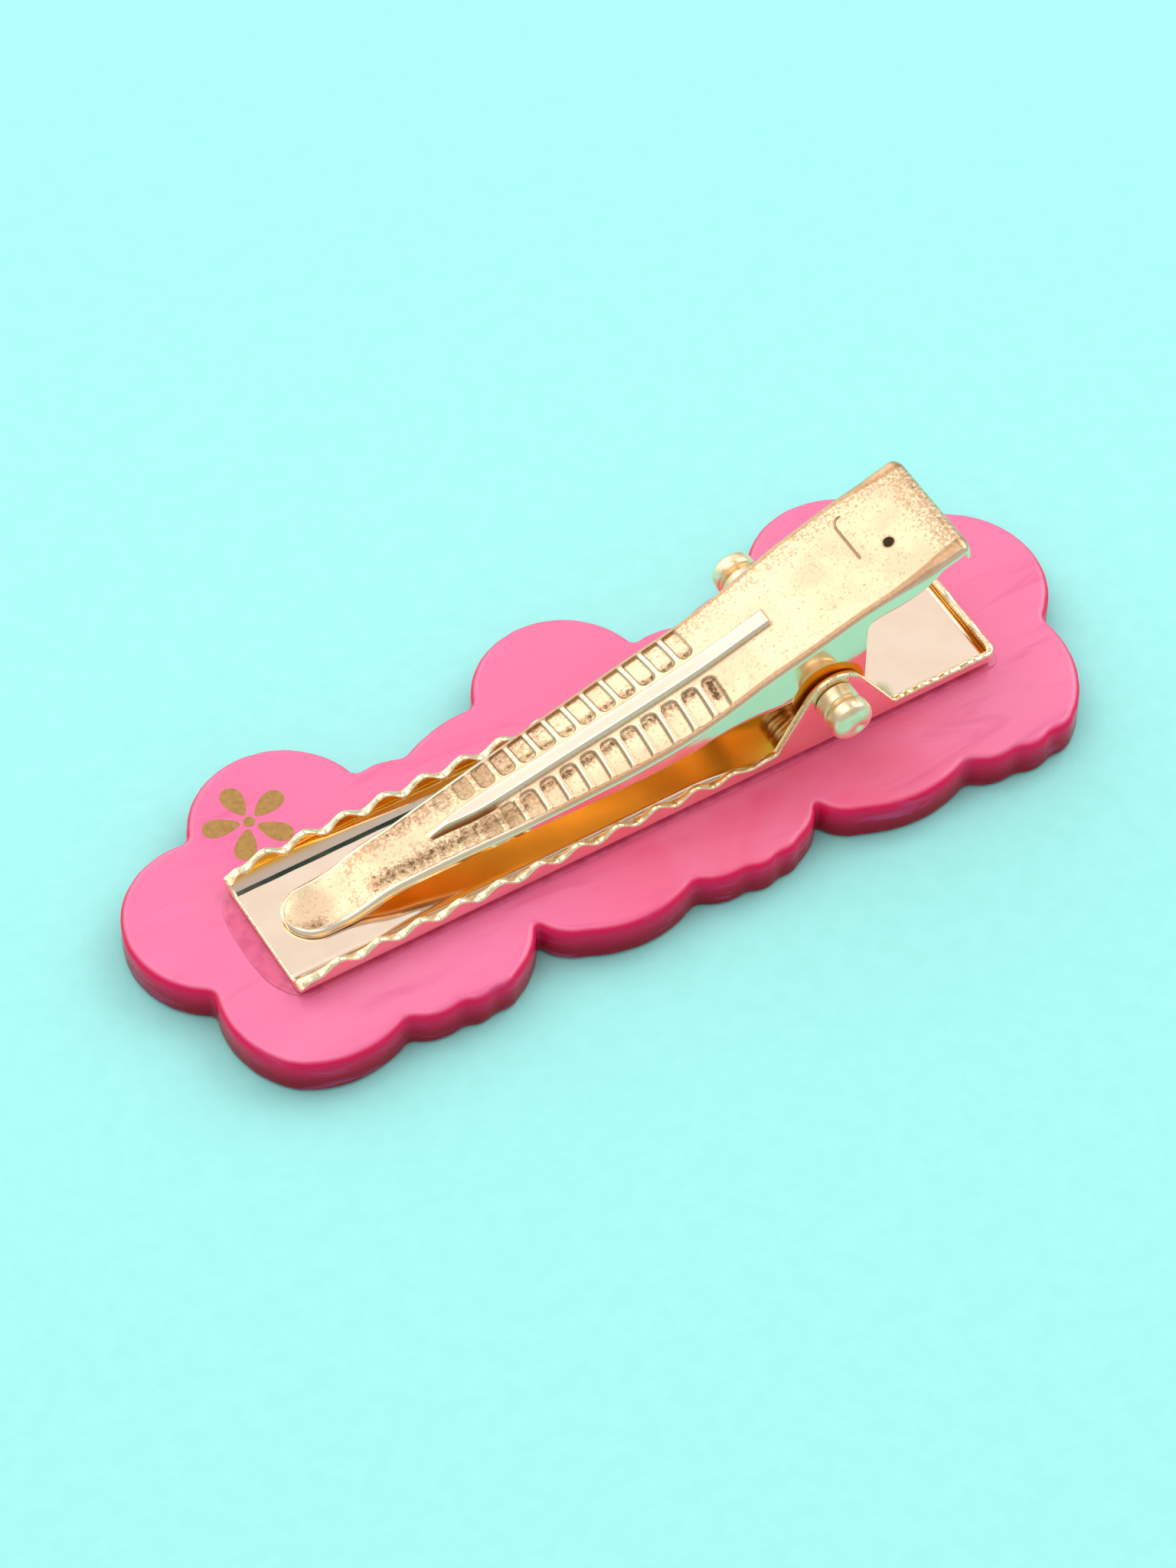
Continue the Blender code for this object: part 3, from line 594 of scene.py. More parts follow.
def build_plate(material):
    outline = plate_outline()
    normal = outward(outline)
    count = len(outline)
    thickness = PLATE_TOP - TABLE_Z
    section = [(1.0, 0.0), (BOTTOM_RIM, 0.0)]
    for a in (pi / 2 * k / 5 for k in range(1, 6)):
        section.append((BOTTOM_RIM * (1 - sin(a)), BOTTOM_RIM * (1 - cos(a))))
    section += [(0.0, BOTTOM_RIM + (thickness - BOTTOM_RIM - TOP_RIM) * k / 6) for k in range(1, 6)]
    for a in (pi / 2 * k / 7 for k in range(8)):
        section.append((TOP_RIM * (1 - cos(a)), thickness - TOP_RIM * (1 - sin(a))))
    section += [(TOP_RIM + 0.12, thickness), (1.3, thickness)]
    rows, sides, bottom_shade = [], [], []
    for inset, height in section:
        row = np.column_stack([outline - normal * inset, np.full(count, TABLE_Z + height)])
        wall = float(1.0 - ramp(0.10, 0.42, inset)) if height > thickness / 2 else 1.0
        bulge = wobble(row, 0.45) * 0.06 + wobble(row, 1.6, 7.0) * 0.025
        row[:, :2] -= normal * (np.abs(bulge) * float(1.0 - ramp(0.0, TOP_RIM, inset)))[:, None]
        rows.append(row)
        sides.append(np.full(count, wall))
        # Painted shade share: full near the bottom, gone above 2.9 mm.
        bottom_shade.append(np.full(count, float(1.0 - ramp(0.7, 2.9, height))))
    points = np.vstack(rows)
    hot = np.exp(-(((points[:, 0] - 4.2) / 3.0) ** 2 + ((points[:, 1] - 9.0) / 2.4) ** 2))
    values = {"side": np.concatenate(sides), "low": np.concatenate(bottom_shade), "hot": hot}
    return add_piece("acetate_plate", points, capped_faces(len(section), count), material, 60.0, values)


def build_foil(material):
    """A five-petalled flower with a round middle, printed in foil beside the clip's front."""
    centre_x, centre_y = FLOWER_CENTRE
    points, faces = [], []

    def patch(outline):
        first = len(points)
        points.extend((x, y, PLATE_TOP + FOIL_LIFT) for x, y in outline)
        faces.append(tuple(range(first, len(points))))

    for k in range(5):
        turn = 2 * pi * k / 5 + 0.35
        petal = []
        for j in range(40):
            a = 2 * pi * j / 40
            along = 1.95 + 1.30 * cos(a)
            out = 0.92 * sin(a) * (0.78 + 0.30 * cos(a))
            petal.append((centre_x + along * cos(turn) - out * sin(turn),
                          centre_y + along * sin(turn) + out * cos(turn)))
        patch(petal)
    angles = [2 * pi * j / 28 for j in range(28)]
    patch([(centre_x + FLOWER_MIDDLE * cos(a), centre_y + FLOWER_MIDDLE * sin(a)) for a in angles])
    return add_piece("foil_flower", points, faces, material)


# --- glue

def glue_outline():
    """The film's edge: close along the clip's sides, bulging out past its front end."""
    half = BASE_WIDTH / 2 + GLUE_SIDE
    rear = BASE_LENGTH + GLUE_REAR
    corner = GLUE_CORNER
    outline = [(x, -half) for x in np.arange(corner, rear - corner, 0.4)]
    for a in np.linspace(0, pi / 2, 7):
        outline.append((rear - corner + corner * sin(a), -half + corner - corner * cos(a)))
    outline += [(rear, y) for y in np.arange(-half + corner + 0.4, 0.0, 0.4)]
    front = []
    for a in np.linspace(0, pi / 2, 22)[:-1]:
        front.append((corner - (GLUE_FRONT + corner) * sin(a) ** 1.25, -half * cos(a) ** 0.7))
    side = front[::-1] + outline
    return np.array(side + [(x, -y) for x, y in reversed(side)])


def build_glue(material):
    """A low meniscus of glue that fills the crack under the clip and shows as a ring at its front."""
    outline = glue_outline()
    normal = outward(outline)
    low = PLATE_TOP + 0.02
    rim = wobble(np.column_stack([outline, np.zeros(len(outline))]), 0.5, 3.0)
    section = ((0.0, 0.0), (0.04, 0.035), (0.12, 0.06), (0.3, 0.07), (0.55, 0.10), (0.8, GLUE_HEIGHT),
               (1.5, GLUE_HEIGHT))
    rows = []
    for inset, height in section:
        shift = (rim * 0.10)[:, None] * float(1.0 - ramp(0.3, 0.8, inset))
        level = np.full(len(outline), low + height)
        rows.append(np.column_stack([outline - normal * (inset + shift), level]))
    return add_piece("glue_ring", np.vstack(rows), capped_faces(len(section), len(outline)), material, 50.0)


# --- base

def ear_edge(x):
    """Height of the ear over x: a round head on two straight flanks."""
    cx, cz = EAR_CENTRE
    height = np.full(np.shape(x), -1.0)
    for foot, foot_z, side in ((EAR_FEET[0], TOOTH_TROUGH, 1), (EAR_FEET[1], REAR_WALL, -1)):
        across, rise = cx - foot, cz - foot_z
        angle = atan2(-rise, -across) - side * (pi / 2 - asin(EAR_RADIUS / hypot(across, rise)))
        touch = (cx + EAR_RADIUS * cos(angle), cz + EAR_RADIUS * sin(angle))
        flank = foot_z + (touch[1] - foot_z) * (x - foot) / (touch[0] - foot)
        inside = (x - foot) * side > 0
        on_flank = inside & ((x - touch[0]) * side < 0)
        height = np.where(on_flank, flank, height)
        on_head = inside & ((x - touch[0]) * side >= 0) & ((x - cx) * side <= 0)
        head = cz + np.sqrt(np.maximum(EAR_RADIUS**2 - (x - cx) ** 2, 0.0))
        height = np.where(on_head, head, height)
    return height


def wall_top(x):
    """Height of a side wall's edge: wavy teeth, the ear, then the low rear wall."""
    x = np.asarray(x, float)
    wave = 0.5 + 0.5 * np.cos(2 * pi * x / TOOTH_PITCH)
    fade = 1.0 - 0.7 * ramp(*TOOTH_FADE, x)
    teeth = TOOTH_TROUGH + TOOTH_HEIGHT * wave * fade
    teeth = FRONT_WALL + (teeth - FRONT_WALL) * ramp(0.0, TOOTH_PITCH / 2, x)
    rear = np.full(np.shape(x), REAR_WALL)
    plain = np.where(x < EAR_CENTRE[0], teeth, rear)
    blend = 0.35
    ear = ear_edge(x)
    gap = np.clip(0.5 + 0.5 * (ear - plain) / blend, 0.0, 1.0)
    return plain * (1 - gap) + ear * gap + blend * gap * (1 - gap)


def wall_section(top, shrink, bend):
    """One section of the wall: (inset from its outer face, height, painted reflection share, edge) from
    under the floor's rim, up the outside, over the edge and down the inside to the floor."""
    thick = SHEET - 2 * shrink
    crest = top - shrink
    floor = SHEET - shrink
    radius = BASE_BEND - shrink
    rows = [(BASE_BEND + 0.5, shrink, 0, 0), (BASE_BEND + 0.1, shrink, 0, 0)]
    for a in np.linspace(0, pi / 2, 7):
        rows.append((shrink + radius * (1 - sin(a)), shrink + radius * (1 - cos(a)), 0, 0))
    low_edge = max(crest - EDGE_ROUNDING, BASE_BEND + 0.01)
    for k in range(1, 5):
        rows.append((shrink, BASE_BEND + (low_edge - BASE_BEND) * k / 5, 0, 0))
    lip = max(min(1.0 - (low_edge - floor) / bend, 1.0), 0.0)
    first = asin(lip)
    inner_start = shrink + thick + bend * (1 - cos(first))
    width = inner_start - shrink
    for k in range(9):
        a = pi * k / 8
        squared = abs(cos(a)) ** 0.6 * (1 if k < 4 else -1)
        rows.append((shrink + width / 2 * (1 - squared), low_edge + (crest - low_edge) * sin(a) ** 0.6,
                     0.3 if k > 6 else 0, 1))
    foot = floor + bend * (1 - lip)
    # The inner wall takes the full painted reflection, which fades out round the bend to the floor.
    for k in range(1, 6):
        rows.append((inner_start, low_edge + (min(foot, low_edge) - low_edge) * k / 5, 1, 0))
    for k in range(1, 13):
        a = first + (pi / 2 - first) * k / 12
        fade = 1.0 - float(ramp(0.45, 1.0, a))
        rows.append((shrink + thick + bend * (1 - cos(a)), floor + bend * (1 - sin(a)), fade, 0))
    inner = shrink + thick + bend
    rows += [(inner + 0.1, floor, 0, 0), (inner + 0.5, floor, 0, 0)]
    return rows


def base_path():
    """Stations round the base from its front near corner to its front far corner: (x, y, normal)."""
    half = BASE_WIDTH / 2
    corner = BASE_BEND
    straight = BASE_LENGTH - corner
    xs = [0.0, 0.03, 0.08, 0.14, 0.2] + list(np.arange(0.3, straight - 0.05, 0.12)) + [straight]
    near = [(x, -half, 0.0, -1.0) for x in xs]
    turn = []
    for k in range(1, 8):
        a = -pi / 2 + pi / 2 * k / 7
        turn.append((straight + corner * cos(a), -half + corner + corner * sin(a), cos(a), sin(a)))
    rear_half = half - corner
    rear = [(BASE_LENGTH, y, 1.0, 0.0) for y in np.linspace(-rear_half, 0.0, 24)[1:-1]]
    side = near + turn + rear
    return side + [(x, -y, nx, -ny) for x, y, nx, ny in reversed(side)]


def build_base(material):
    path = base_path()
    xs = np.array([p[0] for p in path])
    tops = wall_top(xs)
    burr = np.array([noise.noise(Vector((p[0] * 2.3, p[1], 5.0))) for p in path])
    burr *= ramp(45.5, 47.5, xs) * REAR_BURR + BURR
    tops = tops + burr
    points, painted_interreflection, edge = [], [], []
    half = BASE_WIDTH / 2
    for (x, y, nx, ny), top in zip(path, tops):
        shrink = EDGE_ROUNDING - sqrt(max(EDGE_ROUNDING**2 - max(EDGE_ROUNDING - x, 0.0) ** 2, 0.0))
        bend = INNER_BEND_FRONT + (INNER_BEND_REAR - INNER_BEND_FRONT) * float(ramp(31.0, 37.0, x))
        for inset, z, interreflection_share, is_edge in wall_section(top, shrink, bend):
            px = x - nx * inset
            py = y - ny * inset
            if inset > BASE_BEND and x > 50.0:
                px = min(px, BASE_LENGTH - inset)
                py = max(min(py, half - inset), inset - half)
            points.append((px, py, z))
            # Painted reflection share of this point, for the material.
            painted_interreflection.append(interreflection_share)
            edge.append(max(is_edge, 1.0 - float(ramp(0.1, 0.25, x))))
    count = len(wall_section(1.5, 0.0, 0.5))
    total = len(path)
    faces = [f[::-1] for f in strip_faces(total, count, False)]
    for i in range(total // 2 - 1):
        j = total - 1 - i
        top_quad = (i * count + count - 1, (i + 1) * count + count - 1, (j - 1) * count + count - 1,
                    j * count + count - 1)
        under_quad = (i * count, (i + 1) * count, (j - 1) * count, j * count)
        faces.append(top_quad)
        faces.append(under_quad[::-1])
    i = total // 2 - 1
    faces.append(tuple(range(count)) + tuple(range(total * count - 1, (total - 1) * count - 1, -1)))
    return add_piece("clip_base", points, faces, material, 40.0, {"painted_interreflection": painted_interreflection, "edge": edge}, weld=True)


# --- lever

def flange_edge(x):
    """Height of the flange's lower edge above the base's underside."""
    front = curve(FLANGE_EDGE_FRONT, x)
    rear = curve(FLANGE_EDGE_REAR, x)
    ear = HINGE.z - np.sqrt(np.maximum(LEVER_EAR_RADIUS**2 - (x - HINGE.x) ** 2, 0.0))
    edge = np.where(x >= HINGE.x + LEVER_EAR_RADIUS, rear, ear)
    return np.where(x < FLANGE_EDGE_FRONT[-1][0], front, edge)


def spear_half_width(x):
    """Half width of the raised spear along the middle: pointed in front, square behind."""
    return SPEAR_HALF_WIDTH * (0.04 + 0.96 * ramp(SPEAR_SPAN[0], SPEAR_SPAN[0] + 4.5, x))


def pocket(x, y, flat):
    """Depth share, 0 to 1, of the pressed pockets that leave cross ribs standing between them."""
    depth = np.zeros(np.broadcast(x, y).shape)
    for k in range(-1, RIB_COUNT):
        rear = REAR_RIB_X - RIB_PITCH * k
        centre = rear - RIB_PITCH / 2
        half = RIB_PITCH / 2 - RIB_HALF_WIDTH
        if k < 0:
            centre, half = REAR_RIB_X + 0.70, 0.50
        corner = min(0.42, half)
        start = POCKET_START + 0.15 * float(ramp(24.0, 36.0, centre))
        middle = (start + flat - 0.02) / 2
        reach = (flat - 0.02 - start) / 2
        over = np.where(y > 0, 0.6, 0.25)
        dx = np.abs(x - centre) - (half - corner)
        dy = np.abs(np.abs(y) - middle - over / 2) - (reach + over / 2 - corner)
        outside = np.hypot(np.maximum(dx, 0), np.maximum(dy, 0)) - corner
        outside = outside + np.minimum(np.maximum(dx, dy), 0)
        fade = 0.35 + 0.65 * float(ramp(14.0, 23.0, centre))
        depth = np.maximum(depth, fade * (1.0 - ramp(-0.10, 0.07, outside)))
    return depth


def lever_relief(x, y, flat, half_spear):
    """Height added to the lever's top: spear, pockets, spoon, stamped marks."""
    spear = 1.0 - ramp(half_spear, half_spear + SPEAR_SLOPE, np.abs(y))
    spear = spear * ramp(SPEAR_SPAN[0], SPEAR_SPAN[0] + 1.8, x)
    spear = spear * (1.0 - ramp(SPEAR_SPAN[1] - 0.1, SPEAR_SPAN[1] + 0.06, x))
    relief = SPEAR_HEIGHT * spear
    relief = relief - POCKET_DEPTH * pocket(x, y, flat)
    slot_side = np.exp(-((y + half_spear + SPEAR_SLOPE) / 0.10) ** 2)
    relief = relief - 0.22 * slot_side * ramp(12.6, 13.2, x) * (1.0 - ramp(16.8, 18.4, x))
    dish = 1.0 - np.clip(np.hypot((x - 4.3) / 2.3, y / 1.75), 0.0, 1.0) ** 4
    relief = relief - 0.14 * np.maximum(dish, 0.0)
    line = np.exp(-((x - 11.5) / 0.07) ** 2) * ramp(-1.7, -1.4, y) * (1.0 - ramp(0.2, 0.5, y))
    relief = relief + 0.03 * line
    hook = np.hypot(np.minimum(x - HOOK_GROOVE[0], 0.0), np.maximum(y - HOOK_GROOVE[1], 0.0)) - HOOK_RADIUS
    stamp = np.exp(-(hook / 0.06) ** 2) * ramp(-0.7, -0.4, y) * (1.0 - ramp(47.1, 47.4, x))
    return relief - 0.07 * stamp


def lever_tarnish(x, y, flat, half_width):
    """How much brown tarnish gathers: in the pockets' inner ends, along the near front, at the edges."""
    inner = np.exp(-((np.abs(y) - POCKET_START - 0.45) / 0.42) ** 2)
    amount = 0.85 * pocket(x, y, flat) * inner
    rear_valley = np.exp(-((x - REAR_RIB_X - 0.75) / 0.35) ** 2)
    rear_valley = rear_valley * ramp(-3.2, -2.6, y) * (1 - ramp(-1.5, -1.1, y))
    amount = np.maximum(amount, 1.2 * rear_valley)
    front = np.exp(-((y + 0.62 * flat) / 0.75) ** 2) * ramp(7.2, 8.2, x) * (1.0 - ramp(18.5, 21.0, x))
    amount = np.maximum(amount, 0.85 * front)
    toe = np.exp(-(((x - 3.4) / 0.9) ** 2 + ((y + 1.3) / 0.5) ** 2))
    amount = np.maximum(amount, 0.9 * toe)
    heel = np.exp(-((x - 6.9 - 0.25 * y) / 0.45) ** 2) * 0.35
    amount = np.maximum(amount, heel)
    far_front = 0.55 * ramp(0.2, 0.9, y / flat) * ramp(6.0, 8.0, x) * (1.0 - ramp(22.0, 27.0, x))
    amount = np.maximum(amount, far_front)
    far = 0.45 * ramp(0.35, 0.95, y / half_width) + 0.35 * ramp(0.80, 1.0, -y / half_width)
    amount = np.maximum(amount, far * ramp(28.0, 34.0, x))
    rear = 0.5 * ramp(49.5, 51.5, x)
    return np.clip(np.maximum(amount, rear) + 0.08, 0.0, 1.3)


def lever_stations():
    """Rows of (x, z, slope, half width, flange depth, crown): closer together where detail is fine."""
    xs = list(np.arange(4.0, 12.5, 0.22)) + [11.42, 11.5, 11.58]
    phases = (0.0, 0.10, 0.17, 0.22, 0.28, 0.36, 0.50, 0.65)
    for k in range(RIB_COUNT):
        for phase in phases:
            for side in (-1, 1):
                xs.append(REAR_RIB_X - RIB_PITCH * k + side * phase)
    xs += list(np.arange(33.9, 36.0, 0.10)) + list(np.arange(36.0, 46.0, 0.2))
    xs += list(np.arange(38.9, 39.4, 0.05)) + list(np.arange(46.1, 47.5, 0.05))
    xs += list(np.arange(47.5, 51.4, 0.15))
    for k in range(1, 48):
        xs.append(HINGE.x - LEVER_EAR_RADIUS * cos(pi * k / 48))
    ear_rear = HINGE.x + LEVER_EAR_RADIUS
    xs += [ear_rear + gap for gap in (0.0, 0.03, 0.06, 0.1, 0.15, 0.2, 0.27, 0.35, 0.5, 0.65, 0.8)]
    kept = []
    for x in sorted(xs):
        if not kept or x - kept[-1] > 0.024:
            kept.append(x)
    x = np.array(kept)
    shallow = SHEET + 0.03
    last_slope = atan2(
        float(curve(LEVER_TOP, HANDLE_BEND_X)) - float(curve(LEVER_TOP, HANDLE_BEND_X - 1.0)), 1.0)
    top = curve(LEVER_TOP, x)
    rows = []
    for turn in (8, 16, 24, 33, 42, 52, 62, 72, 81):
        a = radians(turn)
        nose_x = NOSE_X + NOSE_RADIUS * (1 - cos(a))
        rows.append((nose_x, float(curve(LEVER_TOP, nose_x)), 0.0, NOSE_RADIUS * sin(a), shallow, 0.0))
    depth = np.maximum(top - flange_edge(x), shallow)
    slope = last_slope * ramp(HANDLE_TILT_START, HANDLE_BEND_X, x)
    rows += list(zip(x, top, slope, curve(LEVER_HALF_WIDTH, x), depth, curve(LEVER_CROWN, x)))
    centre_x = HANDLE_BEND_X + HANDLE_BEND_RADIUS * sin(last_slope)
    centre_z = float(curve(LEVER_TOP, HANDLE_BEND_X)) - HANDLE_BEND_RADIUS * cos(last_slope)
    half = LEVER_HALF_WIDTH[-1][1]
    lip_depth = SHEET + 0.06
    steps = 14
    for k in range(steps + 1):
        turn = last_slope + (HANDLE_BEND_END - last_slope) * k / steps
        x = centre_x - HANDLE_BEND_RADIUS * sin(turn)
        z = centre_z + HANDLE_BEND_RADIUS * cos(turn)
        rows.append((x, z, turn, half, lip_depth, 0.0))
    for reach in (HANDLE_LIP * 0.7, HANDLE_LIP):
        rows.append((x + reach * cos(turn), z + reach * sin(turn), turn, half, lip_depth, 0.0))
    return rows


def lever_section(x, half_width, depth, crown):
    """One ring of the lever: arrays of y, drop below its top edge, and the values its material reads."""
    wall = min(SHEET, 0.45 * half_width)
    turn = LEVER_BEND + (LEVER_BEND_REAR - LEVER_BEND) * float(ramp(45.5, 51.5, x))
    across = min(turn, 0.9 * half_width)
    turn = min(turn, 0.9 * half_width, depth - 0.02)
    opened = float(ramp(4.0, 9.0, x))
    margin = FLANGE_MARGIN * opened
    leaning = 1.2 + 1.8 * float(ramp(29.0, 38.0, x) * (1.0 - ramp(43.5, 50.0, x)))

    def side(drop):
        return half_width + margin - FLANGE_LEAN * np.maximum(leaning - drop, 0.0) * opened

    brow = float(side(turn))
    flat = brow - across
    spear = float(spear_half_width(x)) * min(1.0, flat / 1.5)
    slope = SPEAR_SLOPE * min(1.0, flat / 1.5)
    marks = np.concatenate([np.linspace(0.0, spear, 6), spear + slope * np.linspace(0.15, 1.0, 7)])
    marks = np.concatenate([marks, np.linspace(marks[-1], flat, 38)[1:]])
    y_top = np.concatenate([marks[::-1], -marks[1:]])
    drop_top = -crown * (1.0 - (y_top / flat) ** 2) - lever_relief(x, y_top, flat, spear)
    angles = np.linspace(0, pi / 2, 9)[:-1]
    bend_y = brow - across * (1 - np.cos(angles))
    bend_drop = turn * (1 - np.sin(angles))
    small = min(LEVER_EDGE_ROUNDING, 0.3 * depth, 0.4 * (depth - SHEET))
    flange_drop = depth - small + (turn - depth + small) * np.linspace(0.0, 1.0, 9)[:-1]
    side_y = np.concatenate([side(flange_drop), bend_y])
    side_drop = np.concatenate([flange_drop, bend_drop])
    outer_y = np.concatenate([side_y, y_top, -side_y[::-1]])
    outer_drop = np.concatenate([side_drop, drop_top, side_drop[::-1]])
    inner_turn = min(max(turn - wall, 0.04), 0.8 * (depth - SHEET))
    inner_edge = float(side(SHEET + inner_turn)) - wall
    inner_flat = inner_edge - inner_turn
    inner_y_top = np.linspace(-inner_flat, inner_flat, 15)
    inner_drop_top = SHEET - crown * (1.0 - (inner_y_top / inner_flat) ** 2)
    inner_angles = np.linspace(pi / 2, 0, 4)[1:]
    inner_bend_y = inner_edge - inner_turn * (1 - np.cos(inner_angles))
    inner_bend_drop = SHEET + inner_turn * (1 - np.sin(inner_angles))
    inner_side_drop = np.linspace(SHEET + inner_turn, depth - small, 5)[1:]
    plus_y = np.concatenate([inner_bend_y, side(inner_side_drop) - wall])
    plus_drop = np.concatenate([inner_bend_drop, inner_side_drop])
    lip_edge = float(side(depth)) - wall
    round_y = lip_edge + wall * np.array([0.12, 0.35, 0.65, 0.88])
    round_drop = depth - small * np.array([0.35, 0.0, 0.0, 0.35])
    inner_y = np.concatenate([-plus_y[::-1], inner_y_top, plus_y, round_y])
    inner_drop = np.concatenate([plus_drop[::-1], inner_drop_top, plus_drop, round_drop])
    y = np.concatenate([outer_y, -round_y[::-1], inner_y])
    drop = np.concatenate([outer_drop, round_drop[::-1], inner_drop])

    outer = len(outer_y)
    values = {key: np.zeros(len(y)) for key in ("tarnish", "bright", "fold_reflection", "polish", "shade_and_scratch_lines")}
    lip, inside = np.full(4, 0.2), np.full(len(inner_y) - 4, 1.0)
    # Painted reflection share: none on the outer skin, a little on the lip rounding, full on the inner
    # skin.
    values["painted_interreflection"] = np.concatenate([np.zeros(outer), lip, inside, lip])
    values["tarnish"][:outer] = lever_tarnish(x, outer_y, flat, half_width)
    top = slice(16, outer - 16)
    front, rear = SPEAR_SPAN
    on_spear = 1.0 - ramp(spear, spear + slope * 0.8, np.abs(y_top))
    on_spear = on_spear * ramp(front, front + 1.0, x) * (1.0 - ramp(rear - 0.1, rear + 0.05, x))
    ribs = ramp(16.0, 22.0, x) * (1.0 - ramp(REAR_RIB_X + 0.2, REAR_RIB_X + 0.5, x))
    crest = np.clip(1.0 - 2.5 * pocket(x, y_top, flat), 0.0, 1.0) * ramp(1.0, 1.5, np.abs(y_top)) * ribs
    # The spear's top and the rib crests: rubbed wear with a painted highlight.
    values["bright"][top] = np.maximum(on_spear, 0.55 * crest)
    # Painted shadow lines at the spear's near foot, in its slot and at its rear end, and painted shade down
    # the pocket walls; the cross line at 11.5 is a real scratch.
    foot = np.exp(-((np.abs(y_top) - spear - slope) / 0.09) ** 2) * np.where(y_top < 0, 1.0, 0.35)
    end = np.exp(-((x - rear - 0.08) / 0.08) ** 2) * (np.abs(y_top) < spear + slope)
    along = ramp(front - 0.2, front + 0.5, x) * (1.0 - ramp(rear, rear + 0.2, x))
    slot_shadow = np.exp(-((y_top + spear + slope) / 0.16) ** 2)
    slot_shadow = slot_shadow * ramp(12.6, 13.2, x) * (1.0 - ramp(17.0, 18.6, x))
    cross = np.exp(-((x - 11.5) / 0.07) ** 2) * ramp(-1.7, -1.4, y_top) * (1.0 - ramp(0.2, 0.5, y_top))
    share = pocket(x, y_top, flat)
    walls = 3.2 * share * (1.0 - share) * ramp(13.0, 18.0, x)
    shade_and_scratch_parts = [0.75 * foot * along, 1.4 * slot_shadow, 0.8 * end, 0.5 * cross, walls]
    values["shade_and_scratch_lines"][top] = np.maximum.reduce(shade_and_scratch_parts)
    rim = 1.0 - float(ramp(16.0, 22.0, x))
    fold_reflection_profile = np.array([0.0, 0.0, 0.1, 0.3, 0.6, 0.9, 1.0, 0.8])
    shine = np.array([1.0, 1.0, 0.9, 0.7, 0.4, 0.1, 0.0, 0.0])
    # Across the flange's bend: a painted reflection band behind the front, a painted highlight along the
    # bend in front, and polish throughout.
    for part, step in ((slice(8, 16), 1), (slice(outer - 16, outer - 8), -1)):
        values["fold_reflection"][part] = fold_reflection_profile[::step] * (1.0 - rim)
        values["polish"][part] = shine[::step]
        values["bright"][part] = 0.9 * rim
        values["tarnish"][part] *= 1.0 - rim
    # Painted shade: a dark line where the top turns into the flanges.
    line = float(ramp(8.0, 12.0, x)) * 0.75
    for edge in (15, 16, outer - 17, outer - 16):
        values["shade_and_scratch_lines"][edge] = line
    for part in (slice(0, 8), slice(outer - 8, outer)):
        values["polish"][part] = 1.0
        values["tarnish"][part] = 0.15
    return y, drop, values


def build_lever(material):
    points, sections = [], []
    for x, z, slope, half_width, depth, crown in lever_stations():
        y, drop, values = lever_section(x, half_width, depth, crown)
        points.append(np.column_stack([x + sin(slope) * drop, y, z - cos(slope) * drop]))
        sections.append(values)
    count = len(points[0])
    total = len(points)
    faces = [f[::-1] for f in capped_faces(total, count)]
    values = {key: np.concatenate([section[key] for section in sections]) for key in sections[0]}
    return add_piece("prong_lever", np.vstack(points), faces, material, 50.0, values)


# --- pin

def build_pin(material):
    """A turned rivet: shank, a thick collar and a rounded head on each side, crimped across its ends."""
    half = [
        (PIN_SHANK, 0.0), (PIN_SHANK, 5.0), (PIN_SHANK, 5.43), (PIN_COLLAR - 0.12, 5.43),
        (PIN_COLLAR, 5.52), (PIN_COLLAR, 6.0), (PIN_COLLAR - 0.02, 6.45), (PIN_COLLAR - 0.18, 6.60),
        (PIN_COLLAR - 0.30, 6.66), (PIN_COLLAR - 0.30, 6.74), (PIN_HEAD - 0.14, 6.82),
        (PIN_HEAD - 0.03, 6.92), (PIN_HEAD, 7.05), (PIN_HEAD, 7.40), (PIN_HEAD - 0.02, PIN_DOME_START),
    ]
    for k in range(1, 15):
        a = pi / 2 * k / 14
        radius = max((PIN_HEAD - 0.02) * cos(a) ** 0.75, 0.0)
        half.append((radius, PIN_DOME_START + (PIN_HALF_LENGTH - PIN_DOME_START) * sin(a)))
    half[-1] = (0.001, PIN_HALF_LENGTH)
    profile = [(r, -y) for r, y in reversed(half[1:])] + half
    steps = 64
    points = []
    for r, y in profile:
        end = float(ramp(7.5, 7.8, abs(y))) * (1 if y > 0 else -1)
        for k in range(steps):
            a = 2 * pi * k / steps
            px, pz = r * cos(a), r * sin(a)
            shift = 0.30 * end * np.exp(-(((px - 0.30) ** 2 + (pz + 0.40) ** 2) / 0.42**2))
            points.append((HINGE.x + px, y - shift, HINGE.z + pz))
    return add_piece("rivet_pin", points, capped_faces(len(profile), steps), material, 40.0)


# --- spring

def leg_contact(end, side):
    """Angle round the coil at which a straight leg leaves it for its end point."""
    across, rise = end[0] - HINGE.x, end[1] - HINGE.z
    return atan2(rise, across) - side * asin(COIL_RADIUS / hypot(across, rise)) + side * pi / 2


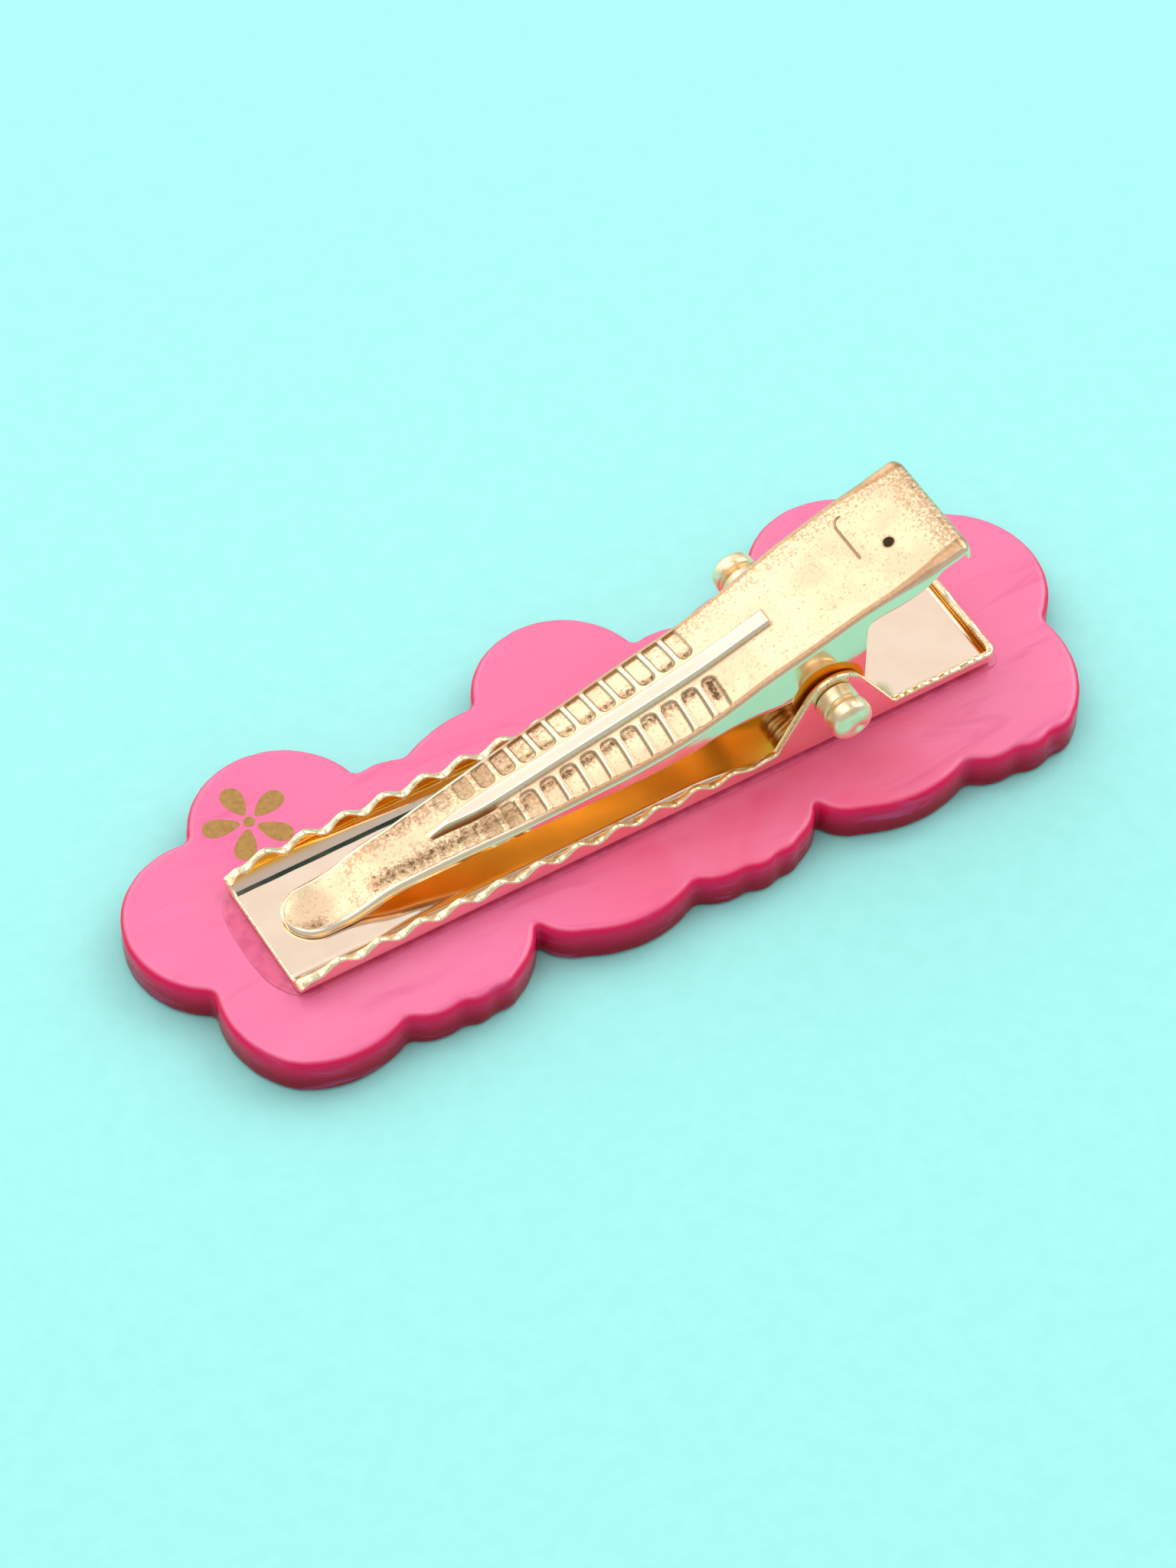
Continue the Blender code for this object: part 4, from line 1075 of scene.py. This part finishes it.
def spring_path():
    """The wire's centre line: upper leg, coil round the pin, lower leg."""
    first = leg_contact(UPPER_LEG_END, 1)
    turning = leg_contact(LOWER_LEG_END, -1) + 2 * pi - first + 2 * pi * COIL_TURNS
    length = turning / (2 * pi) * COIL_PITCH
    coil = []
    count = round(turning / (2 * pi) * 40)
    for k in range(count + 1):
        angle = first + turning * k / count
        coil.append((HINGE.x + COIL_RADIUS * cos(angle), length / 2 - length * k / count,
                     HINGE.z + COIL_RADIUS * sin(angle)))
    upper = np.array((UPPER_LEG_END[0], length / 2, UPPER_LEG_END[1]))
    lower = np.array((LOWER_LEG_END[0], -length / 2, LOWER_LEG_END[1]))
    start, end = np.array(coil[0]), np.array(coil[-1])
    legs = [upper + (start - upper) * k / 12 for k in range(12)]
    return np.array(legs + coil + [end + (lower - end) * k / 12 for k in range(1, 13)])


def build_spring(material):
    path = spring_path()
    sides = 14
    along = np.gradient(path, axis=0)
    along /= np.linalg.norm(along, axis=1)[:, None]
    points = []
    axis = np.array((0.0, 1.0, 0.0))
    for centre, direction in zip(path, along):
        across = axis - direction * axis.dot(direction)
        across /= np.linalg.norm(across)
        up = np.cross(direction, across)
        for k in range(sides):
            a = 2 * pi * k / sides
            points.append(centre + WIRE_RADIUS * (across * cos(a) + up * sin(a)))
    return add_piece("wire_spring", points, capped_faces(len(path), sides), material, 50.0)


# --- studio

def add_sheet(name, centre, half_x, half_y, material):
    """A flat sheet of the studio, centred on a point in the frame's metres."""
    corners = [(-half_x, -half_y, 0), (half_x, -half_y, 0), (half_x, half_y, 0), (-half_x, half_y, 0)]
    mesh = bpy.data.meshes.new(name)
    mesh.from_pydata(corners, [], [(0, 1, 2, 3)])
    mesh.materials.append(material)
    sheet = bpy.data.objects.new(name, mesh)
    sheet.location = centre
    bpy.context.scene.collection.objects.link(sheet)
    return sheet


def add_light(name, direction, distance, size, watts, colour=(1.0, 1.0, 1.0)):
    """A square soft light that faces the clip from a direction."""
    data = bpy.data.lights.new(name, "AREA")
    data.size = size
    data.energy = watts
    data.color = colour
    light = bpy.data.objects.new(name, data)
    bpy.context.scene.collection.objects.link(light)
    aim = Vector(place(LIGHT_AIM))
    light.location = aim + Vector(direction).normalized() * distance
    light.rotation_euler = (aim - light.location).to_track_quat("-Z", "Y").to_euler()
    return light


def build_studio():
    """Paper under the clip, even light from all round, soft boxes, and a black card for reflections."""
    add_sheet("paper", (0.0, 0.0, PLATE_LOW.z), PAPER_REACH, PAPER_REACH, aqua_paper())
    black = bpy.data.materials.new("black_flag")
    black.use_nodes = True
    black.node_tree.nodes["Principled BSDF"].inputs["Base Color"].default_value = (0.01, 0.01, 0.01, 1.0)
    flag = add_sheet("black_flag", place((120.0, 92.0, 360.0)), 0.045, 0.10, black)
    flag.visible_shadow = False
    flag.visible_diffuse = False

    world = bpy.data.worlds.new("studio")
    bpy.context.scene.world = world
    world.use_nodes = True
    background = world.node_tree.nodes["Background"]
    background.inputs["Color"].default_value = (1.0, 0.98, 0.95, 1.0)
    background.inputs["Strength"].default_value = 0.56

    add_light("back_softbox", (0.05, 0.60, 0.78), 0.80, 1.00, 1.25, (1.0, 0.98, 0.96))
    add_light("far_softbox", (-0.35, 0.85, 0.40), 0.85, 1.00, 2.3)
    add_light("top_softbox", (-0.25, 0.05, 0.95), 0.90, 0.80, 1.5)
    add_light("right_softbox", (0.75, 0.10, 0.65), 0.80, 0.60, 2.0)


def build_camera():
    data = bpy.data.cameras.new("camera")
    data.lens = CAMERA_LENS
    data.clip_start = 0.01
    camera = bpy.data.objects.new("camera", data)
    bpy.context.scene.collection.objects.link(camera)
    look = Vector((
        -sin(CAMERA_AZIMUTH) * cos(CAMERA_ELEVATION),
        cos(CAMERA_AZIMUTH) * cos(CAMERA_ELEVATION),
        -sin(CAMERA_ELEVATION),
    ))
    camera.location = Vector(place(CAMERA_AIM)) - look * CAMERA_DISTANCE * MM
    camera.rotation_euler = look.to_track_quat("-Z", "Y").to_euler()
    bpy.context.scene.camera = camera


def dress():
    """Every visible piece in place of its CAD node; all but the spring on the body that carries it."""
    base, prong = frame["joints"][0]["parent"], frame["joints"][0]["child"]
    for piece, body, node, slot in (
        (build_plate(pearl_acetate()), base, "ornament_plate", "pink_acetate"),
        (build_glue(glue_film()), base, "adhesive_pad", "clear_glue"),
        (build_base(bright_gold()), base, "base_channel", "gold_plated_steel"),
        (build_pin(pin_gold()), base, "hinge_pin", "gold_rivet"),
        (build_foil(foil()), base, None, "gold_foil"),
        (build_lever(worn_gold()), prong, "lever", "worn_gold_plate"),
    ):
        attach(piece, body)
        if node:
            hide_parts(node)
    spring = build_spring(spring_wire())
    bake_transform(spring)
    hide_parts("torsion_spring")


build_studio()
build_camera()
dress()
bpy.context.scene.view_settings.view_transform = "Standard"
